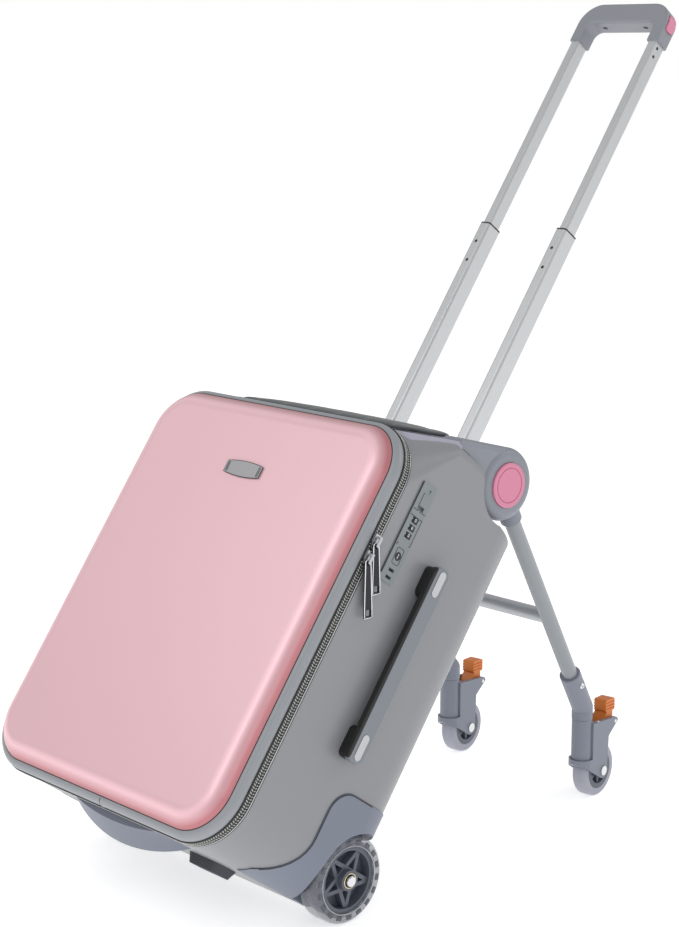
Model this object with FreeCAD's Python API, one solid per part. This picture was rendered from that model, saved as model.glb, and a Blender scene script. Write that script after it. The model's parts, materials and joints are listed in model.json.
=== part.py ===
import FreeCAD, Part
import math
import os

# A ride-on cabin suitcase in its riding pose: the case leans back on two main
# wheels, a leg frame with two braked casters holds it up from behind, and the
# trolley handle is fully drawn out.
#
# Case frame: x across the case, y from the front of the lid frame to the back,
# z up along the case, with zero at the lower edge of the lid panel.
# Ride frame: the case frame leaned back about x, +z up from the floor.
# All lengths in millimetres, all angles in degrees.

# Riding pose
case_tilt = 35.8
overrun = 4.0
touch_gap = 0.3
running_gap = 0.05

# Lid panel: a pillowed sheet with a rolled edge
panel_width = 356.8
panel_height = 432.0
panel_corner = 48.0
panel_crown = 13.0
panel_roll = 22.0
panel_wall = 2.2

# Lid frame around the panel
rim_side = 7.6
rim_above = 6.0
rim_below = 8.0
rim_corner = 56.0
lid_frame_depth = 10.5
lid_frame_wall = 3.0
lid_frame_round = 6.5
panel_ledge = 7.0

# Zipper band between lid and body
zipper_half_width = 4.8
zipper_slit = 0.4
zipper_proud = 0.6
zipper_sunk = 1.4

# Body shell
shell_wall = 3.0
case_depth = 217.0
shoulder_depth = 70.0
shoulder_rise = 18.0
shoulder_corner = 12.0
shoulder_round = 34.0
back_corner = 46.0
back_low_corner = 40.0

# Pivot barrel at the top of the back, and the notch that it sits in
pivot_inset = 58.0
pivot_rise = 1.0
barrel_radius = 38.0
barrel_inset = 7.0
barrel_round = 9.0
notch_gap = 5.0
notch_floor_turn = 10.0
notch_back_drop = 53.0
arm_reach = 83.0
arm_width = 26.0
arm_rise = 10.0
arm_inset = 9.5
arm_edge_round = 7.0

# Trolley block in the middle of the pivot housing
block_half_width = 80.0
block_ahead = 9.0
block_rise = 35.0
block_back_inset = 0.6
block_edge_round = 5.0

# Leg knuckles, pivot pins and caps
knuckle_width = 27.0
knuckle_inset = 29.0
knuckle_radius = 30.0
knuckle_gap = 0.6
collar_radius = 11.5
collar_length = 54.0
collar_clear = 3.0
housing_core_radius = 27.0
housing_core_inset = 39.0
pin_radius = 6.0
pin_inward = 31.0
pin_outward = 18.0
cap_radius = 23.4
cap_proud = 2.2
cap_sunk = 1.6
cap_groove_radius = 17.4
cap_groove_width = 0.9
cap_groove_depth = 0.9
cap_stem_radius = 5.0
cap_stem_length = 2.2

# Leg frame
leg_radius = 8.5
leg_wall = 1.5
leg_start = 24.0
leg_top_offset = 7.0
stem_x = 105.0
stem_reach = 431.0
elbow_height = 111.0
fold_travel = 46.0
leg_slot_inward = 33.0
leg_slot_outward = 16.0
leg_slot_gap = 3.5
cross_bar_radius = 8.0
cross_bar_along = 212.0
socket_radius = 12.0
socket_length = 44.0
socket_depth = 30.0

# Caster
caster_wheel_radius = 31.0
caster_wheel_width = 18.0
caster_tread_depth = 9.0
caster_tread_round_share = 0.45
caster_trail = 25.0
caster_swivel = 8.0
fork_top = 97.0
fork_seam = 0.4
fork_stem_radius = 11.6
fork_half_width = 14.0
fork_cheek_set_back = 3.0
fork_slot_gap = 0.9
fork_wheel_gap = 2.2
fork_axle_boss = 9.0
fork_lip_height = 50.0
fork_lip_reach = 14.0
fork_shoulder_height = 70.0
fork_rear_reach = 27.0
ear_reach = 50.0
ear_height = 84.0
ear_radius = 5.0
ear_deck_height = 92.0
swivel_pin_radius = 5.0
swivel_pin_bottom = 78.0
swivel_pin_top = 118.0
caster_axle_radius = 3.0
caster_axle_head_radius = 5.5
caster_axle_head = 1.8
caster_rim_inner = 16.0
caster_hub_radius = 7.0
caster_spoke_width = 4.0
caster_spoke_count = 6
caster_rim_wall = 2.0

# Brake lever on each caster
brake_pin_radius = 2.0
brake_half_width = 8.0
brake_boss_radius = 4.5
brake_pad_front = 37.5
brake_pad_back = 57.0
brake_pad_low = 95.5
brake_pad_high = 110.0
brake_neck_front = 42.0
brake_neck_back = 52.0
brake_pad_round = 3.0
brake_rib_depth = 0.8
brake_rib_width = 1.2
brake_rib_count = 3
brake_shoe_low = 66.0
brake_shoe_front = 24.0

# Main wheels in their corner housings
axle_inset = 23.0
axle_z = 32.6
wheel_radius = 45.0
wheel_width = 26.0
wheel_inset = 34.0
tread_groove_radius = 39.5
tread_groove_width = 16.0
core_rim_outer = 33.5
core_rim_inner = 29.5
core_rim_width = 22.0
core_tooth_count = 18
core_tooth_fill_share = 0.55
core_tooth_gap = 0.4
core_tooth_width = 15.0
star_point_count = 5
star_bar_width = 4.2
star_bar_depth = 9.0
star_bar_set_in = 3.0
hub_radius = 10.5
hub_overhang = 1.5
bearing_radius = 8.4
bearing_width = 7.0
axle_bolt_radius = 4.0
axle_head_radius = 5.6
axle_head_height = 3.2
axle_washer_gap = 0.3
bay_wheel_room = 10.0
bay_gap = 0.4
bay_length = 101.0
bay_body_round = 60.0
bay_height = 114.0
bay_top_round = 26.0
bay_tip_turn = 62.0
housing_proud = 1.2
housing_plate = 4.0
well_gap = 4.0
axle_boss_radius = 9.0
axle_boss_gap = 0.3

# Seat on the top of the case
seat_turn = 22.0
seat_base_rise = 3.0
seat_base_lip = 15.0
seat_base_skirt = 50.0
seat_base_front = 24.0
seat_base_ahead = 41.0
seat_base_inset = 6.0
seat_base_front_inset = 37.0
seat_base_flare_share = 0.43
seat_base_slope_share = 1.1
seat_base_corner = 10.0
seat_base_back_round = 4.0
cushion_arm_gap = 3.5
cushion_front_inset = 17.0
cushion_back_inset = 4.5
cushion_thickness = 9.5
cushion_draw_in = 4.0
cushion_corner_share = 0.21052632
cushion_edge_share = 0.45
cushion_top_inset_share = 0.22368421

# Trolley handle
trolley_x = 57.4
trolley_inset = 16.0
outer_tube_width = 16.6
outer_tube_depth = 24.6
tube_wall = 0.9
tube_slide_gap = 0.2
outer_tube_rise = 29.0
outer_tube_bottom = 134.0
mid_drawn = 289.0
mid_length = 345.0
inner_drawn = 256.0
inner_length = 318.0
inner_tube_width = 11.4
inner_tube_depth = 18.6
tube_corner = 2.6
bushing_length = 26.0
bushing_lip = 1.8
grip_overlap = 2.0
grip_height = 51.0
grip_half_width = 65.4
grip_depth = 22.4
grip_bridge_height = 27.0
grip_leg_width = 16.4
grip_outer_corner = 28.0
grip_inner_corner = 10.0
grip_edge_round = 3.2
grip_socket_depth = 14.0
button_height = 20.0
button_depth = 13.0
button_rise = 17.0
button_round = 4.0
button_proud = 1.8
button_sunk = 7.0
button_travel_room = 4.0
button_gap = 0.4
foot_bracket_half_width = 72.0
foot_bracket_low = 126.0
foot_bracket_high = 146.0
foot_bracket_inset = 30.5

# Lining panel in front of the trolley tubes
lining_inset = 37.5
lining_thickness = 2.5

# Side handle on the right wall
side_handle_length = 209.0
side_handle_drop = 118.0
side_handle_front = 93.0
side_handle_back = 116.0
side_base_length = 33.0
side_base_height = 10.0
side_base_inset = 1.6
side_bar_thickness = 6.5
side_bar_round = 2.4
side_end_round = 8.0
side_leg_wall = 5.0
side_leg_gap = 0.4
side_leg_depth = 9.0
side_inlay_length = 27.0
side_inlay_half_width = 4.6
side_inlay_depth = 0.8
side_inlay_proud = 0.5
side_inlay_set_in = 3.0
side_pad_thickness = 2.6

# Lock on the right wall
lock_length = 106.0
lock_drop = 54.0
lock_front = 40.5
lock_back = 63.0
lock_plate = 1.2
lock_plate_round = 2.0
lock_box_inset = 2.0
lock_box_depth = 18.0
dial_count = 3
dial_radius = 8.2
dial_width = 5.0
dial_pitch = 8.2
dial_middle_rise = 59.0
dial_middle_y = 52.5
dial_proud = 0.9
dial_gap = 0.4
dial_pin_radius = 1.6
dial_pin_tail = 6.0
key_rise = 28.0
key_y = 52.5
key_radius = 4.4
key_depth = 10.0
key_slot_width = 1.1
key_slot_length = 4.6
key_slot_depth = 3.0
slider_button_rise = 89.0
slider_button_length = 13.0
slider_button_width = 9.0
slider_button_proud = 0.7
slider_button_sunk = 3.0
slider_button_room = 4.0
pull_slot_upper_rise = 13.0
pull_slot_lower_rise = 5.5
pull_slot_width = 8.0
pull_slot_height = 3.2
pull_slot_depth = 6.0

# Zipper sliders and pulls
slider_upper_rise = 26.0
slider_lower_rise = 8.0
slider_length = 14.0
slider_width = 9.0
slider_thickness = 3.4
slider_waist_share = 0.62
bridge_thickness = 1.8
bridge_height = 4.4
bridge_width = 3.0
pull_thickness = 2.0
pull_eye_radius = 3.4
pull_eye_hole = 2.3
pull_neck_width = 5.6
pull_waist_width = 9.6
pull_upper_length = 47.0
pull_lower_length = 54.0
pull_loop_length = 10.0
pull_loop_wall = 1.8

# Badge plate on the lid panel, left blank
badge_width = 54.0
badge_height = 17.0
badge_bulge = 2.4
badge_thickness = 1.6
badge_drop = 78.0

# Feet and bottom grip
foot_inset = 110.5
foot_width = 52.0
foot_depth = 30.0
foot_gap = 36.0
foot_height = 10.0
foot_taper = 4.0
foot_round = 9.0
bottom_grip_half_width = 93.5
bottom_grip_height = 22.0
bottom_grip_front_half_width = 66.0
bottom_grip_front_height = 7.0
bottom_grip_front = 38.0
bottom_grip_depth = 26.0
bottom_grip_wall = 4.0

# Worked-out places
V = FreeCAD.Vector
case_half = panel_width / 2 + rim_side
barrel_end = case_half - barrel_inset
arm_outer = case_half - arm_inset
arm_inner = arm_outer - arm_width
knuckle_middle = case_half - knuckle_inset
pin_inner = knuckle_middle - pin_inward
pin_outer = knuckle_middle + pin_outward
leg_top_x = knuckle_middle + leg_top_offset
leg_slot_inner = knuckle_middle - leg_slot_inward
leg_slot_outer = knuckle_middle + leg_slot_outward
housing_core_half_width = knuckle_middle - housing_core_inset
wheel_inner_x = case_half - wheel_inset
bay_inner_x = wheel_inner_x - bay_wheel_room
foot_x = case_half - foot_inset
foot_front = bottom_grip_front + bottom_grip_depth + foot_gap
seat_base_limit = case_half - seat_base_inset
seat_base_half_width = case_half - seat_base_front_inset
cushion_half_width = arm_inner - cushion_arm_gap
rim_bottom = -rim_below
rim_top = panel_height + rim_above
case_top = rim_top + shoulder_rise
pivot_y = case_depth - pivot_inset
pivot_z = case_top + pivot_rise
arm_front = pivot_y - arm_reach
arm_front_height = case_top + arm_rise
block_front = pivot_y - block_ahead
block_top = pivot_z + block_rise
axle_y = case_depth - axle_inset
bay_front = case_depth - bay_length
seat_front_z = rim_top + seat_base_rise
seat_slope = math.radians(seat_turn)
seat_length = (pivot_y - seat_base_ahead - seat_base_front) / math.cos(seat_slope)
cushion_depth = seat_length - cushion_front_inset - cushion_back_inset
cushion_corner = cushion_depth * cushion_corner_share
cushion_top_inset = cushion_depth * cushion_top_inset_share
trolley_y = case_depth - trolley_inset
outer_tube_top = pivot_z + outer_tube_rise
mid_top = outer_tube_top + mid_drawn
inner_top = mid_top + inner_drawn
grip_bottom = inner_top - grip_overlap
grip_top = grip_bottom + grip_height
button_low = grip_bottom + button_rise
foot_bracket_front = case_depth - foot_bracket_inset
lining_front = case_depth - lining_inset
side_handle_high = case_top - side_handle_drop
side_handle_low = side_handle_high - side_handle_length
lock_high = case_top - lock_drop
lock_low = lock_high - lock_length
dial_middle_z = lock_low + dial_middle_rise
key_z = lock_low + key_rise
slider_button_z = lock_low + slider_button_rise
pull_slot_upper_z = lock_low + pull_slot_upper_rise
pull_slot_lower_z = lock_low + pull_slot_lower_rise
slider_upper_z = lock_low + slider_upper_rise
slider_lower_z = lock_low + slider_lower_rise
badge_z = panel_height - badge_drop
zipper_front = lid_frame_depth
zipper_middle = zipper_front + zipper_half_width + zipper_slit / 2
body_front = zipper_front + 2 * zipper_half_width + zipper_slit
notch_radius = barrel_radius + notch_gap
notch_back_z = pivot_z - notch_back_drop
wheel_outer_x = wheel_inner_x + wheel_width
well_radius = wheel_radius + well_gap
tilt = math.radians(case_tilt)
ride_lift = wheel_radius + axle_y * math.sin(tilt) - axle_z * math.cos(tilt)
mid_tube_width = outer_tube_width - 2 * (tube_wall + tube_slide_gap)
mid_tube_depth = outer_tube_depth - 2 * (tube_wall + tube_slide_gap)


def ride(point):
    # A point of the case frame, seen in the ride frame.
    y = point.y * math.cos(tilt) + point.z * math.sin(tilt)
    z = point.z * math.cos(tilt) - point.y * math.sin(tilt) + ride_lift
    return V(point.x, y, z)


def lean(shape):
    # A shape of the case frame, moved into the ride frame.
    turned = shape.copy()
    turned.rotate(V(0, 0, 0), V(1, 0, 0), -case_tilt)
    turned.translate(V(0, 0, ride_lift))
    return turned


def across(y):
    # Plane of width and height at depth y.
    return lambda u, v: V(u, y, v)


def along(x):
    # Plane of depth and height at width x.
    return lambda u, v: V(x, u, v)


def level(z):
    # Plane of width and depth at height z.
    return lambda u, v: V(u, v, z)


def on_circle(center, radius, degrees):
    turn = math.radians(degrees)
    return (center[0] + radius * math.cos(turn), center[1] + radius * math.sin(turn))


def outline(plane, steps):
    # A closed wire; each step is an end point, or a pair of mid point and end point.
    edges = []
    here = plane(*steps[0])
    for step in steps[1:] + [steps[0]]:
        if isinstance(step[0], tuple):
            there = plane(*step[1])
            edges.append(Part.Arc(here, plane(*step[0]), there).toShape())
        else:
            there = plane(*step)
            if there != here:
                edges.append(Part.LineSegment(here, there).toShape())
        here = there
    return Part.Wire(edges)


def rounded_steps(u0, u1, v0, v1, radii):
    # Steps of a rounded rectangle; radii run low left, low right, high right, high left.
    a, b, c, d = radii
    return [
        (u0 + a, v0),
        (u1 - b, v0),
        (on_circle((u1 - b, v0 + b), b, -45), (u1, v0 + b)),
        (u1, v1 - c),
        (on_circle((u1 - c, v1 - c), c, 45), (u1 - c, v1)),
        (u0 + d, v1),
        (on_circle((u0 + d, v1 - d), d, 135), (u0, v1 - d)),
        (u0, v0 + a),
        (on_circle((u0 + a, v0 + a), a, 225), (u0 + a, v0)),
    ]


def cornered_steps(corners, radii):
    # Steps of an outline with a round of its own at each corner.
    steps = []
    for index, radius in enumerate(radii):
        corner = V(*corners[index], 0)
        before = (V(*corners[index - 1], 0) - corner).normalize()
        after = (V(*corners[(index + 1) % len(corners)], 0) - corner).normalize()
        half = before.getAngle(after) / 2
        middle = corner + (before + after).normalize() * (radius / math.sin(half) - radius)
        start = corner + before * (radius / math.tan(half))
        end = corner + after * (radius / math.tan(half))
        steps += [(start.x, start.y), ((middle.x, middle.y), (end.x, end.y))]
    return steps


def rounded_wire(plane, u0, u1, v0, v1, radius):
    return outline(plane, rounded_steps(u0, u1, v0, v1, (radius,) * 4))


def prism(wire, sweep):
    return Part.Face(wire).extrude(sweep)


def span_box(x0, x1, y0, y1, z0, z1):
    return Part.makeBox(x1 - x0, y1 - y0, z1 - z0, V(x0, y0, z0))


def rod(start, end, radius):
    return Part.makeCylinder(radius, (end - start).Length, start, end - start)


def fused(shapes):
    return shapes[0].multiFuse(shapes[1:]).removeSplitter()


def mirrored(shape):
    return shape.mirror(V(0, 0, 0), V(1, 0, 0))


def pair(shape):
    return Part.makeCompound([shape, mirrored(shape)])


def edges_where(shape, test):
    found = []
    for edge in shape.Edges:
        if test(edge.BoundBox):
            found.append(edge)
    return found


def flat_at(value):
    # Tests whether a span of a box lies on one value.
    return lambda low, high: abs(low - value) < touch_gap and abs(high - value) < touch_gap


# Case outer form

def rim_wire(y, grow):
    return rounded_wire(across(y), -case_half - grow, case_half + grow,
                        rim_bottom - grow, rim_top + grow, rim_corner + grow)


def shoulder_wire(y, grow):
    low = rim_corner + grow
    high = shoulder_corner + grow
    steps = rounded_steps(-case_half - grow, case_half + grow, rim_bottom - grow, case_top + grow,
                          (low, low, high, high))
    return outline(across(y), steps)


def side_outline(front, grow):
    # The case from the side: round low back corner, notch for the barrel, round shoulder.
    low = rim_bottom - grow
    back = case_depth + grow
    corner = back_low_corner + grow
    top = case_top + grow
    notch = notch_radius - grow
    bend = shoulder_round + grow
    pivot = (pivot_y, pivot_z)
    bend_z = top - bend
    bend_y = pivot_y - math.sqrt((notch + bend) ** 2 - (pivot_z - bend_z) ** 2)
    to_pivot = math.degrees(math.atan2(pivot_z - bend_z, pivot_y - bend_y))
    floor_turn = notch_floor_turn - 90
    meet_turn = to_pivot - 180
    return outline(along(-case_half - grow - overrun), [
        (front, low),
        (back - corner, low),
        (on_circle((back - corner, low + corner), corner, -45), (back, low + corner)),
        (back, notch_back_z + grow),
        on_circle(pivot, notch, floor_turn),
        (on_circle(pivot, notch, (floor_turn + meet_turn) / 2), on_circle(pivot, notch, meet_turn)),
        (on_circle((bend_y, bend_z), bend, (to_pivot + 90) / 2), (bend_y, top)),
        (front, top),
    ])


def side_block(front, grow):
    return prism(side_outline(front, grow), V(2 * (case_half + grow + overrun), 0, 0))


def case_block(grow, lead):
    # The whole outer form, grown by an amount and led forward by an overrun.
    wires = [rim_wire(body_front, grow), shoulder_wire(shoulder_depth, grow)]
    if lead > 0:
        wires.insert(0, rim_wire(body_front - lead, grow))
    front_form = Part.makeLoft(wires, True, True)
    half = case_half + grow
    corner = back_corner + grow
    back = case_depth + grow
    steps = rounded_steps(-half, half, body_front - 2 * corner, back, (corner,) * 4)
    low = rim_bottom - grow - overrun
    plan_form = prism(outline(level(low), steps), V(0, 0, case_top + grow + overrun - low))
    rear_form = prism(shoulder_wire(shoulder_depth, grow), V(0, back - shoulder_depth + overrun, 0))
    rear_form = rear_form.common(plan_form).common(side_block(body_front, grow))
    return front_form.fuse(rear_form)


def leg_slot(grow):
    # Room behind the notch for a leg that is folded towards the back.
    turn = math.radians(leg_rest_turn - fold_travel)
    way = V(0, math.sin(turn), -math.cos(turn))
    side = V(0, -math.cos(turn), -math.sin(turn)) * (leg_radius + leg_slot_gap + grow)
    axis = V(leg_slot_inner - grow, pivot_y, pivot_z)
    near = axis + side
    far = near + way * (2 * case_depth)
    corners = [near, far, V(near.x, far.y + case_depth, far.z), V(near.x, far.y + case_depth, axis.z)]
    wire = Part.makePolygon(corners + [near])
    return prism(wire, V(leg_slot_outer - leg_slot_inner + 2 * grow, 0, 0))


def wheel_bay(grow, inner_x):
    # The corner that a wheel housing fills, as seen from the side.
    body_round = bay_body_round - grow
    center = (bay_front - bay_body_round, rim_bottom + bay_body_round)
    tip = on_circle(center, body_round, -bay_tip_turn)
    top = rim_bottom + bay_height + grow
    top_round = bay_top_round + grow
    top_center = (bay_front + bay_top_round, rim_bottom + bay_height - bay_top_round)
    far = case_depth + wheel_radius
    low = rim_bottom - overrun
    wire = outline(along(inner_x), [
        (tip[0], low),
        tip,
        (on_circle(center, body_round, -bay_tip_turn / 2), (bay_front - grow, center[1])),
        (bay_front - grow, top_center[1]),
        (on_circle(top_center, top_round, 135), (top_center[0], top)),
        (far, top),
        (far, low),
    ])
    return prism(wire, V(case_half + wheel_width - inner_x, 0, 0))


def tube_block(width, depth, z0, z1):
    # A rounded rectangular bar along the case, on the right trolley line.
    wire = rounded_wire(level(z0), trolley_x - width / 2, trolley_x + width / 2,
                        trolley_y - depth / 2, trolley_y + depth / 2, tube_corner)
    return prism(wire, V(0, 0, z1 - z0))


def lock_box(grow):
    return span_box(case_half - lock_box_depth, case_half + overrun, lock_front + lock_box_inset - grow,
                    lock_back - lock_box_inset + grow, lock_low + lock_box_inset - grow,
                    lock_high - lock_box_inset + grow)


# Body pieces

def make_body_shell():
    slot = leg_slot(0)
    bay = wheel_bay(0, bay_inner_x)
    hollow = case_block(-shell_wall, overrun)
    thick_slot = leg_slot(shell_wall)
    thick_bay = wheel_bay(shell_wall, bay_inner_x - shell_wall)
    hollow = hollow.cut([thick_slot, mirrored(thick_slot), thick_bay, mirrored(thick_bay)])
    tube_hole = tube_block(outer_tube_width + 2 * touch_gap, outer_tube_depth + 2 * touch_gap,
                           panel_height / 2, case_top)
    shell = case_block(0, 0)
    for cuts in ([slot, mirrored(slot)], [bay, mirrored(bay)], [hollow],
                 [tube_hole, mirrored(tube_hole), lock_box(touch_gap)]):
        shell = shell.cut(cuts)
    return shell


def make_lining_panel():
    slab = span_box(-case_half, case_half, lining_front, lining_front + lining_thickness,
                    rim_bottom, case_top)
    thick = shell_wall + touch_gap
    thick_slot = leg_slot(thick)
    thick_bay = wheel_bay(thick, bay_inner_x - thick)
    panel = slab.common(case_block(-thick, overrun))
    panel = panel.cut([thick_slot, mirrored(thick_slot), thick_bay, mirrored(thick_bay)])
    return max(panel.Solids, key=lambda solid: solid.Volume)


def seat_plane(drop):
    # Plane of width and length along the sloping seat, lowered by a drop.
    def at(u, v):
        y = seat_base_front + v * math.cos(seat_slope)
        return V(u, y, seat_front_z + v * math.sin(seat_slope) - drop)
    return at


def make_seat_base():
    # A wedge that rises to the back, with sides that spread outwards down to the case.
    wires = []
    radii = (seat_base_corner, seat_base_corner, seat_base_back_round, seat_base_back_round)
    for drop, lip in ((0, 0), (seat_base_lip, seat_base_lip), (seat_base_skirt, seat_base_lip)):
        front = seat_base_half_width + lip * seat_base_slope_share
        back = front + seat_length * seat_base_flare_share
        corners = ((-front, 0), (front, 0), (back, seat_length), (-back, seat_length))
        wires.append(outline(seat_plane(drop), cornered_steps(corners, radii)))
    base = Part.makeLoft(wires, True, True)
    room = span_box(-seat_base_limit, seat_base_limit, 0, case_depth, 0, 2 * case_top)
    arm_room = span_box(arm_inner - touch_gap, 2 * case_half, arm_front - touch_gap, case_depth,
                        0, 2 * case_top)
    base = base.common(room).cut([case_block(0, overrun), arm_room, mirrored(arm_room)])
    return max(base.Solids, key=lambda solid: solid.Volume)


def make_seat_cushion():
    # A crowned pad whose sides draw in between its corners, laid on the sloping seat.
    def section(rise, inset, bow):
        x = cushion_half_width - inset
        y0 = cushion_front_inset + inset
        y1 = seat_length - cushion_back_inset - inset
        mid = (y0 + y1) / 2
        r = cushion_corner
        return outline(level(touch_gap + rise), [
            (-x + r, y0),
            ((0, y0 + bow), (x - r, y0)),
            (on_circle((x - r, y0 + r), r, -45), (x, y0 + r)),
            ((x - bow, mid), (x, y1 - r)),
            (on_circle((x - r, y1 - r), r, 45), (x - r, y1)),
            ((0, y1 - bow), (-x + r, y1)),
            (on_circle((-x + r, y1 - r), r, 135), (-x, y1 - r)),
            ((-x + bow, mid), (-x, y0 + r)),
            (on_circle((-x + r, y0 + r), r, 225), (-x + r, y0)),
        ])

    edge = cushion_thickness * cushion_edge_share
    shoulder = cushion_thickness * (1 + cushion_edge_share) / 2
    sections = [section(0, cushion_draw_in, cushion_draw_in), section(edge, 0, cushion_draw_in),
                section(shoulder, cushion_draw_in, cushion_draw_in),
                section(cushion_thickness, cushion_top_inset, cushion_draw_in)]
    pad = Part.makeLoft(sections, True, True)
    pad.rotate(V(0, 0, 0), V(1, 0, 0), seat_turn)
    pad.translate(V(0, seat_base_front, seat_front_z))
    return pad


def end_profile(x):
    # Arm and barrel from the side: a straight top that runs onto the round barrel.
    pivot = (pivot_y, pivot_z)
    tip = (arm_front, arm_front_height)
    reach = math.hypot(pivot[0] - tip[0], pivot[1] - tip[1])
    to_pivot = math.degrees(math.atan2(pivot[1] - tip[1], pivot[0] - tip[0]))
    meet = 90 + to_pivot + math.degrees(math.asin(barrel_radius / reach))
    steps = [
        (arm_front, pivot_z - barrel_radius),
        tip,
        on_circle(pivot, barrel_radius, meet),
        (on_circle(pivot, barrel_radius, (meet - 90) / 2), on_circle(pivot, barrel_radius, -90)),
    ]
    return outline(along(x), steps)


def make_pivot_housing():
    barrel = rod(V(-barrel_end, pivot_y, pivot_z), V(barrel_end, pivot_y, pivot_z), barrel_radius)
    rims = edges_where(barrel, lambda box: flat_at(barrel_end)(abs(box.XMin), abs(box.XMax)))
    barrel = barrel.makeFillet(barrel_round, rims)
    arm = prism(end_profile(arm_inner), V(arm_outer - arm_inner, 0, 0))

    def on_outer_top(box):
        return flat_at(arm_outer)(box.XMin, box.XMax) and box.ZMin > arm_front_height - touch_gap

    arm = arm.makeFillet(arm_edge_round, edges_where(arm, on_outer_top))
    body = side_block(body_front, touch_gap)
    arm = arm.cut(body)
    block_back = case_depth - block_back_inset
    block = span_box(-block_half_width, block_half_width, block_front, block_back, notch_back_z, block_top)

    def on_rim(box):
        upright = box.YMin > block_back - touch_gap and box.ZLength > touch_gap
        return upright or box.ZMin > block_top - touch_gap

    block = block.makeFillet(block_edge_round, edges_where(block, on_rim)).cut(body)
    housing = fused([barrel, arm, mirrored(arm), block])
    cavity = rod(V(knuckle_middle - knuckle_width / 2 - knuckle_gap, pivot_y, pivot_z),
                 V(knuckle_middle + knuckle_width / 2 + knuckle_gap, pivot_y, pivot_z),
                 knuckle_radius + knuckle_gap)
    core = rod(V(0, pivot_y, pivot_z), V(housing_core_half_width, pivot_y, pivot_z), housing_core_radius)
    pin_hole = rod(V(0, pivot_y, pivot_z), V(pin_outer, pivot_y, pivot_z), pin_radius)
    cap_room = rod(V(barrel_end - cap_sunk, pivot_y, pivot_z), V(barrel_end + overrun, pivot_y, pivot_z),
                   cap_radius + touch_gap)
    cap_hole = rod(V(barrel_end - cap_sunk - cap_stem_length, pivot_y, pivot_z),
                   V(barrel_end, pivot_y, pivot_z), cap_stem_radius)
    tube_seat = tube_block(outer_tube_width, outer_tube_depth, notch_back_z - overrun, outer_tube_top)
    tube_way = tube_block(mid_tube_width + 2 * tube_slide_gap, mid_tube_depth + 2 * tube_slide_gap,
                          notch_back_z - overrun, block_top + overrun)
    cuts = []
    for cut in (cavity, core, knuckle_sweep(), pin_hole, cap_room, cap_hole, tube_seat, tube_way):
        cuts += [cut, mirrored(cut)]
    return housing.cut(cuts).removeSplitter()


def knuckle_sweep():
    # The sector of the barrel wall that the leg collar swings through.
    half = math.degrees(math.asin((collar_radius + collar_clear) / barrel_radius))
    low = leg_rest_turn - fold_travel - half
    high = leg_rest_turn + half
    reach = 2 * barrel_radius
    x = knuckle_middle - knuckle_width / 2 - knuckle_gap
    corners = [V(x, pivot_y, pivot_z)]
    for turn in (low, (low + high) / 2, high):
        point = on_circle((pivot_y, pivot_z), reach, turn - 90)
        corners.append(V(x, point[0], point[1]))
    return prism(Part.makePolygon(corners + [corners[0]]), V(knuckle_width + 2 * knuckle_gap, 0, 0))


def make_pivot_cap():
    inner = barrel_end - cap_sunk
    face = barrel_end + cap_proud
    disc = rod(V(inner, pivot_y, pivot_z), V(face, pivot_y, pivot_z), cap_radius)
    disc = disc.makeFillet(cap_proud / 2, edges_where(disc, lambda box: flat_at(face)(box.XMin, box.XMax)))
    groove = rod(V(face - cap_groove_depth, pivot_y, pivot_z), V(face + overrun, pivot_y, pivot_z),
                 cap_groove_radius + cap_groove_width)
    groove = groove.cut(rod(V(face - 2 * cap_groove_depth, pivot_y, pivot_z),
                            V(face + 2 * overrun, pivot_y, pivot_z), cap_groove_radius))
    stem = rod(V(inner - cap_stem_length, pivot_y, pivot_z), V(inner + cap_proud, pivot_y, pivot_z),
               cap_stem_radius)
    return disc.cut(groove).fuse(stem).removeSplitter()


def make_pivot_pin():
    return rod(V(pin_inner, pivot_y, pivot_z), V(barrel_end - cap_sunk - cap_stem_length - touch_gap,
                                                   pivot_y, pivot_z), pin_radius)


def make_wheel_housing():
    form = case_block(housing_proud, 0)
    corner = form.common(wheel_bay(-bay_gap, bay_inner_x + bay_gap))
    plate_x = bay_inner_x + bay_gap + housing_plate
    well = rod(V(plate_x, axle_y, axle_z), V(2 * case_half, axle_y, axle_z), well_radius)
    corner = corner.cut(well)
    boss = rod(V(plate_x - housing_plate / 2, axle_y, axle_z),
               V(wheel_inner_x - hub_overhang - axle_boss_gap, axle_y, axle_z), axle_boss_radius)
    bore = rod(V(bay_inner_x, axle_y, axle_z), V(wheel_outer_x, axle_y, axle_z), axle_bolt_radius)
    return corner.fuse(boss).cut(bore).removeSplitter()


def make_axle_bolt():
    head_x = wheel_outer_x + hub_overhang + axle_washer_gap
    shank = rod(V(bay_inner_x + bay_gap, axle_y, axle_z), V(head_x, axle_y, axle_z), axle_bolt_radius)
    head = rod(V(head_x, axle_y, axle_z), V(head_x + axle_head_height, axle_y, axle_z), axle_head_radius)
    top = edges_where(head, lambda box: flat_at(head_x + axle_head_height)(box.XMin, box.XMax))
    return shank.fuse(head.makeFillet(axle_head_height / 2, top)).removeSplitter()


def wheel_rod(x0, x1, radius):
    return rod(V(x0, axle_y, axle_z), V(x1, axle_y, axle_z), radius)


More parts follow.
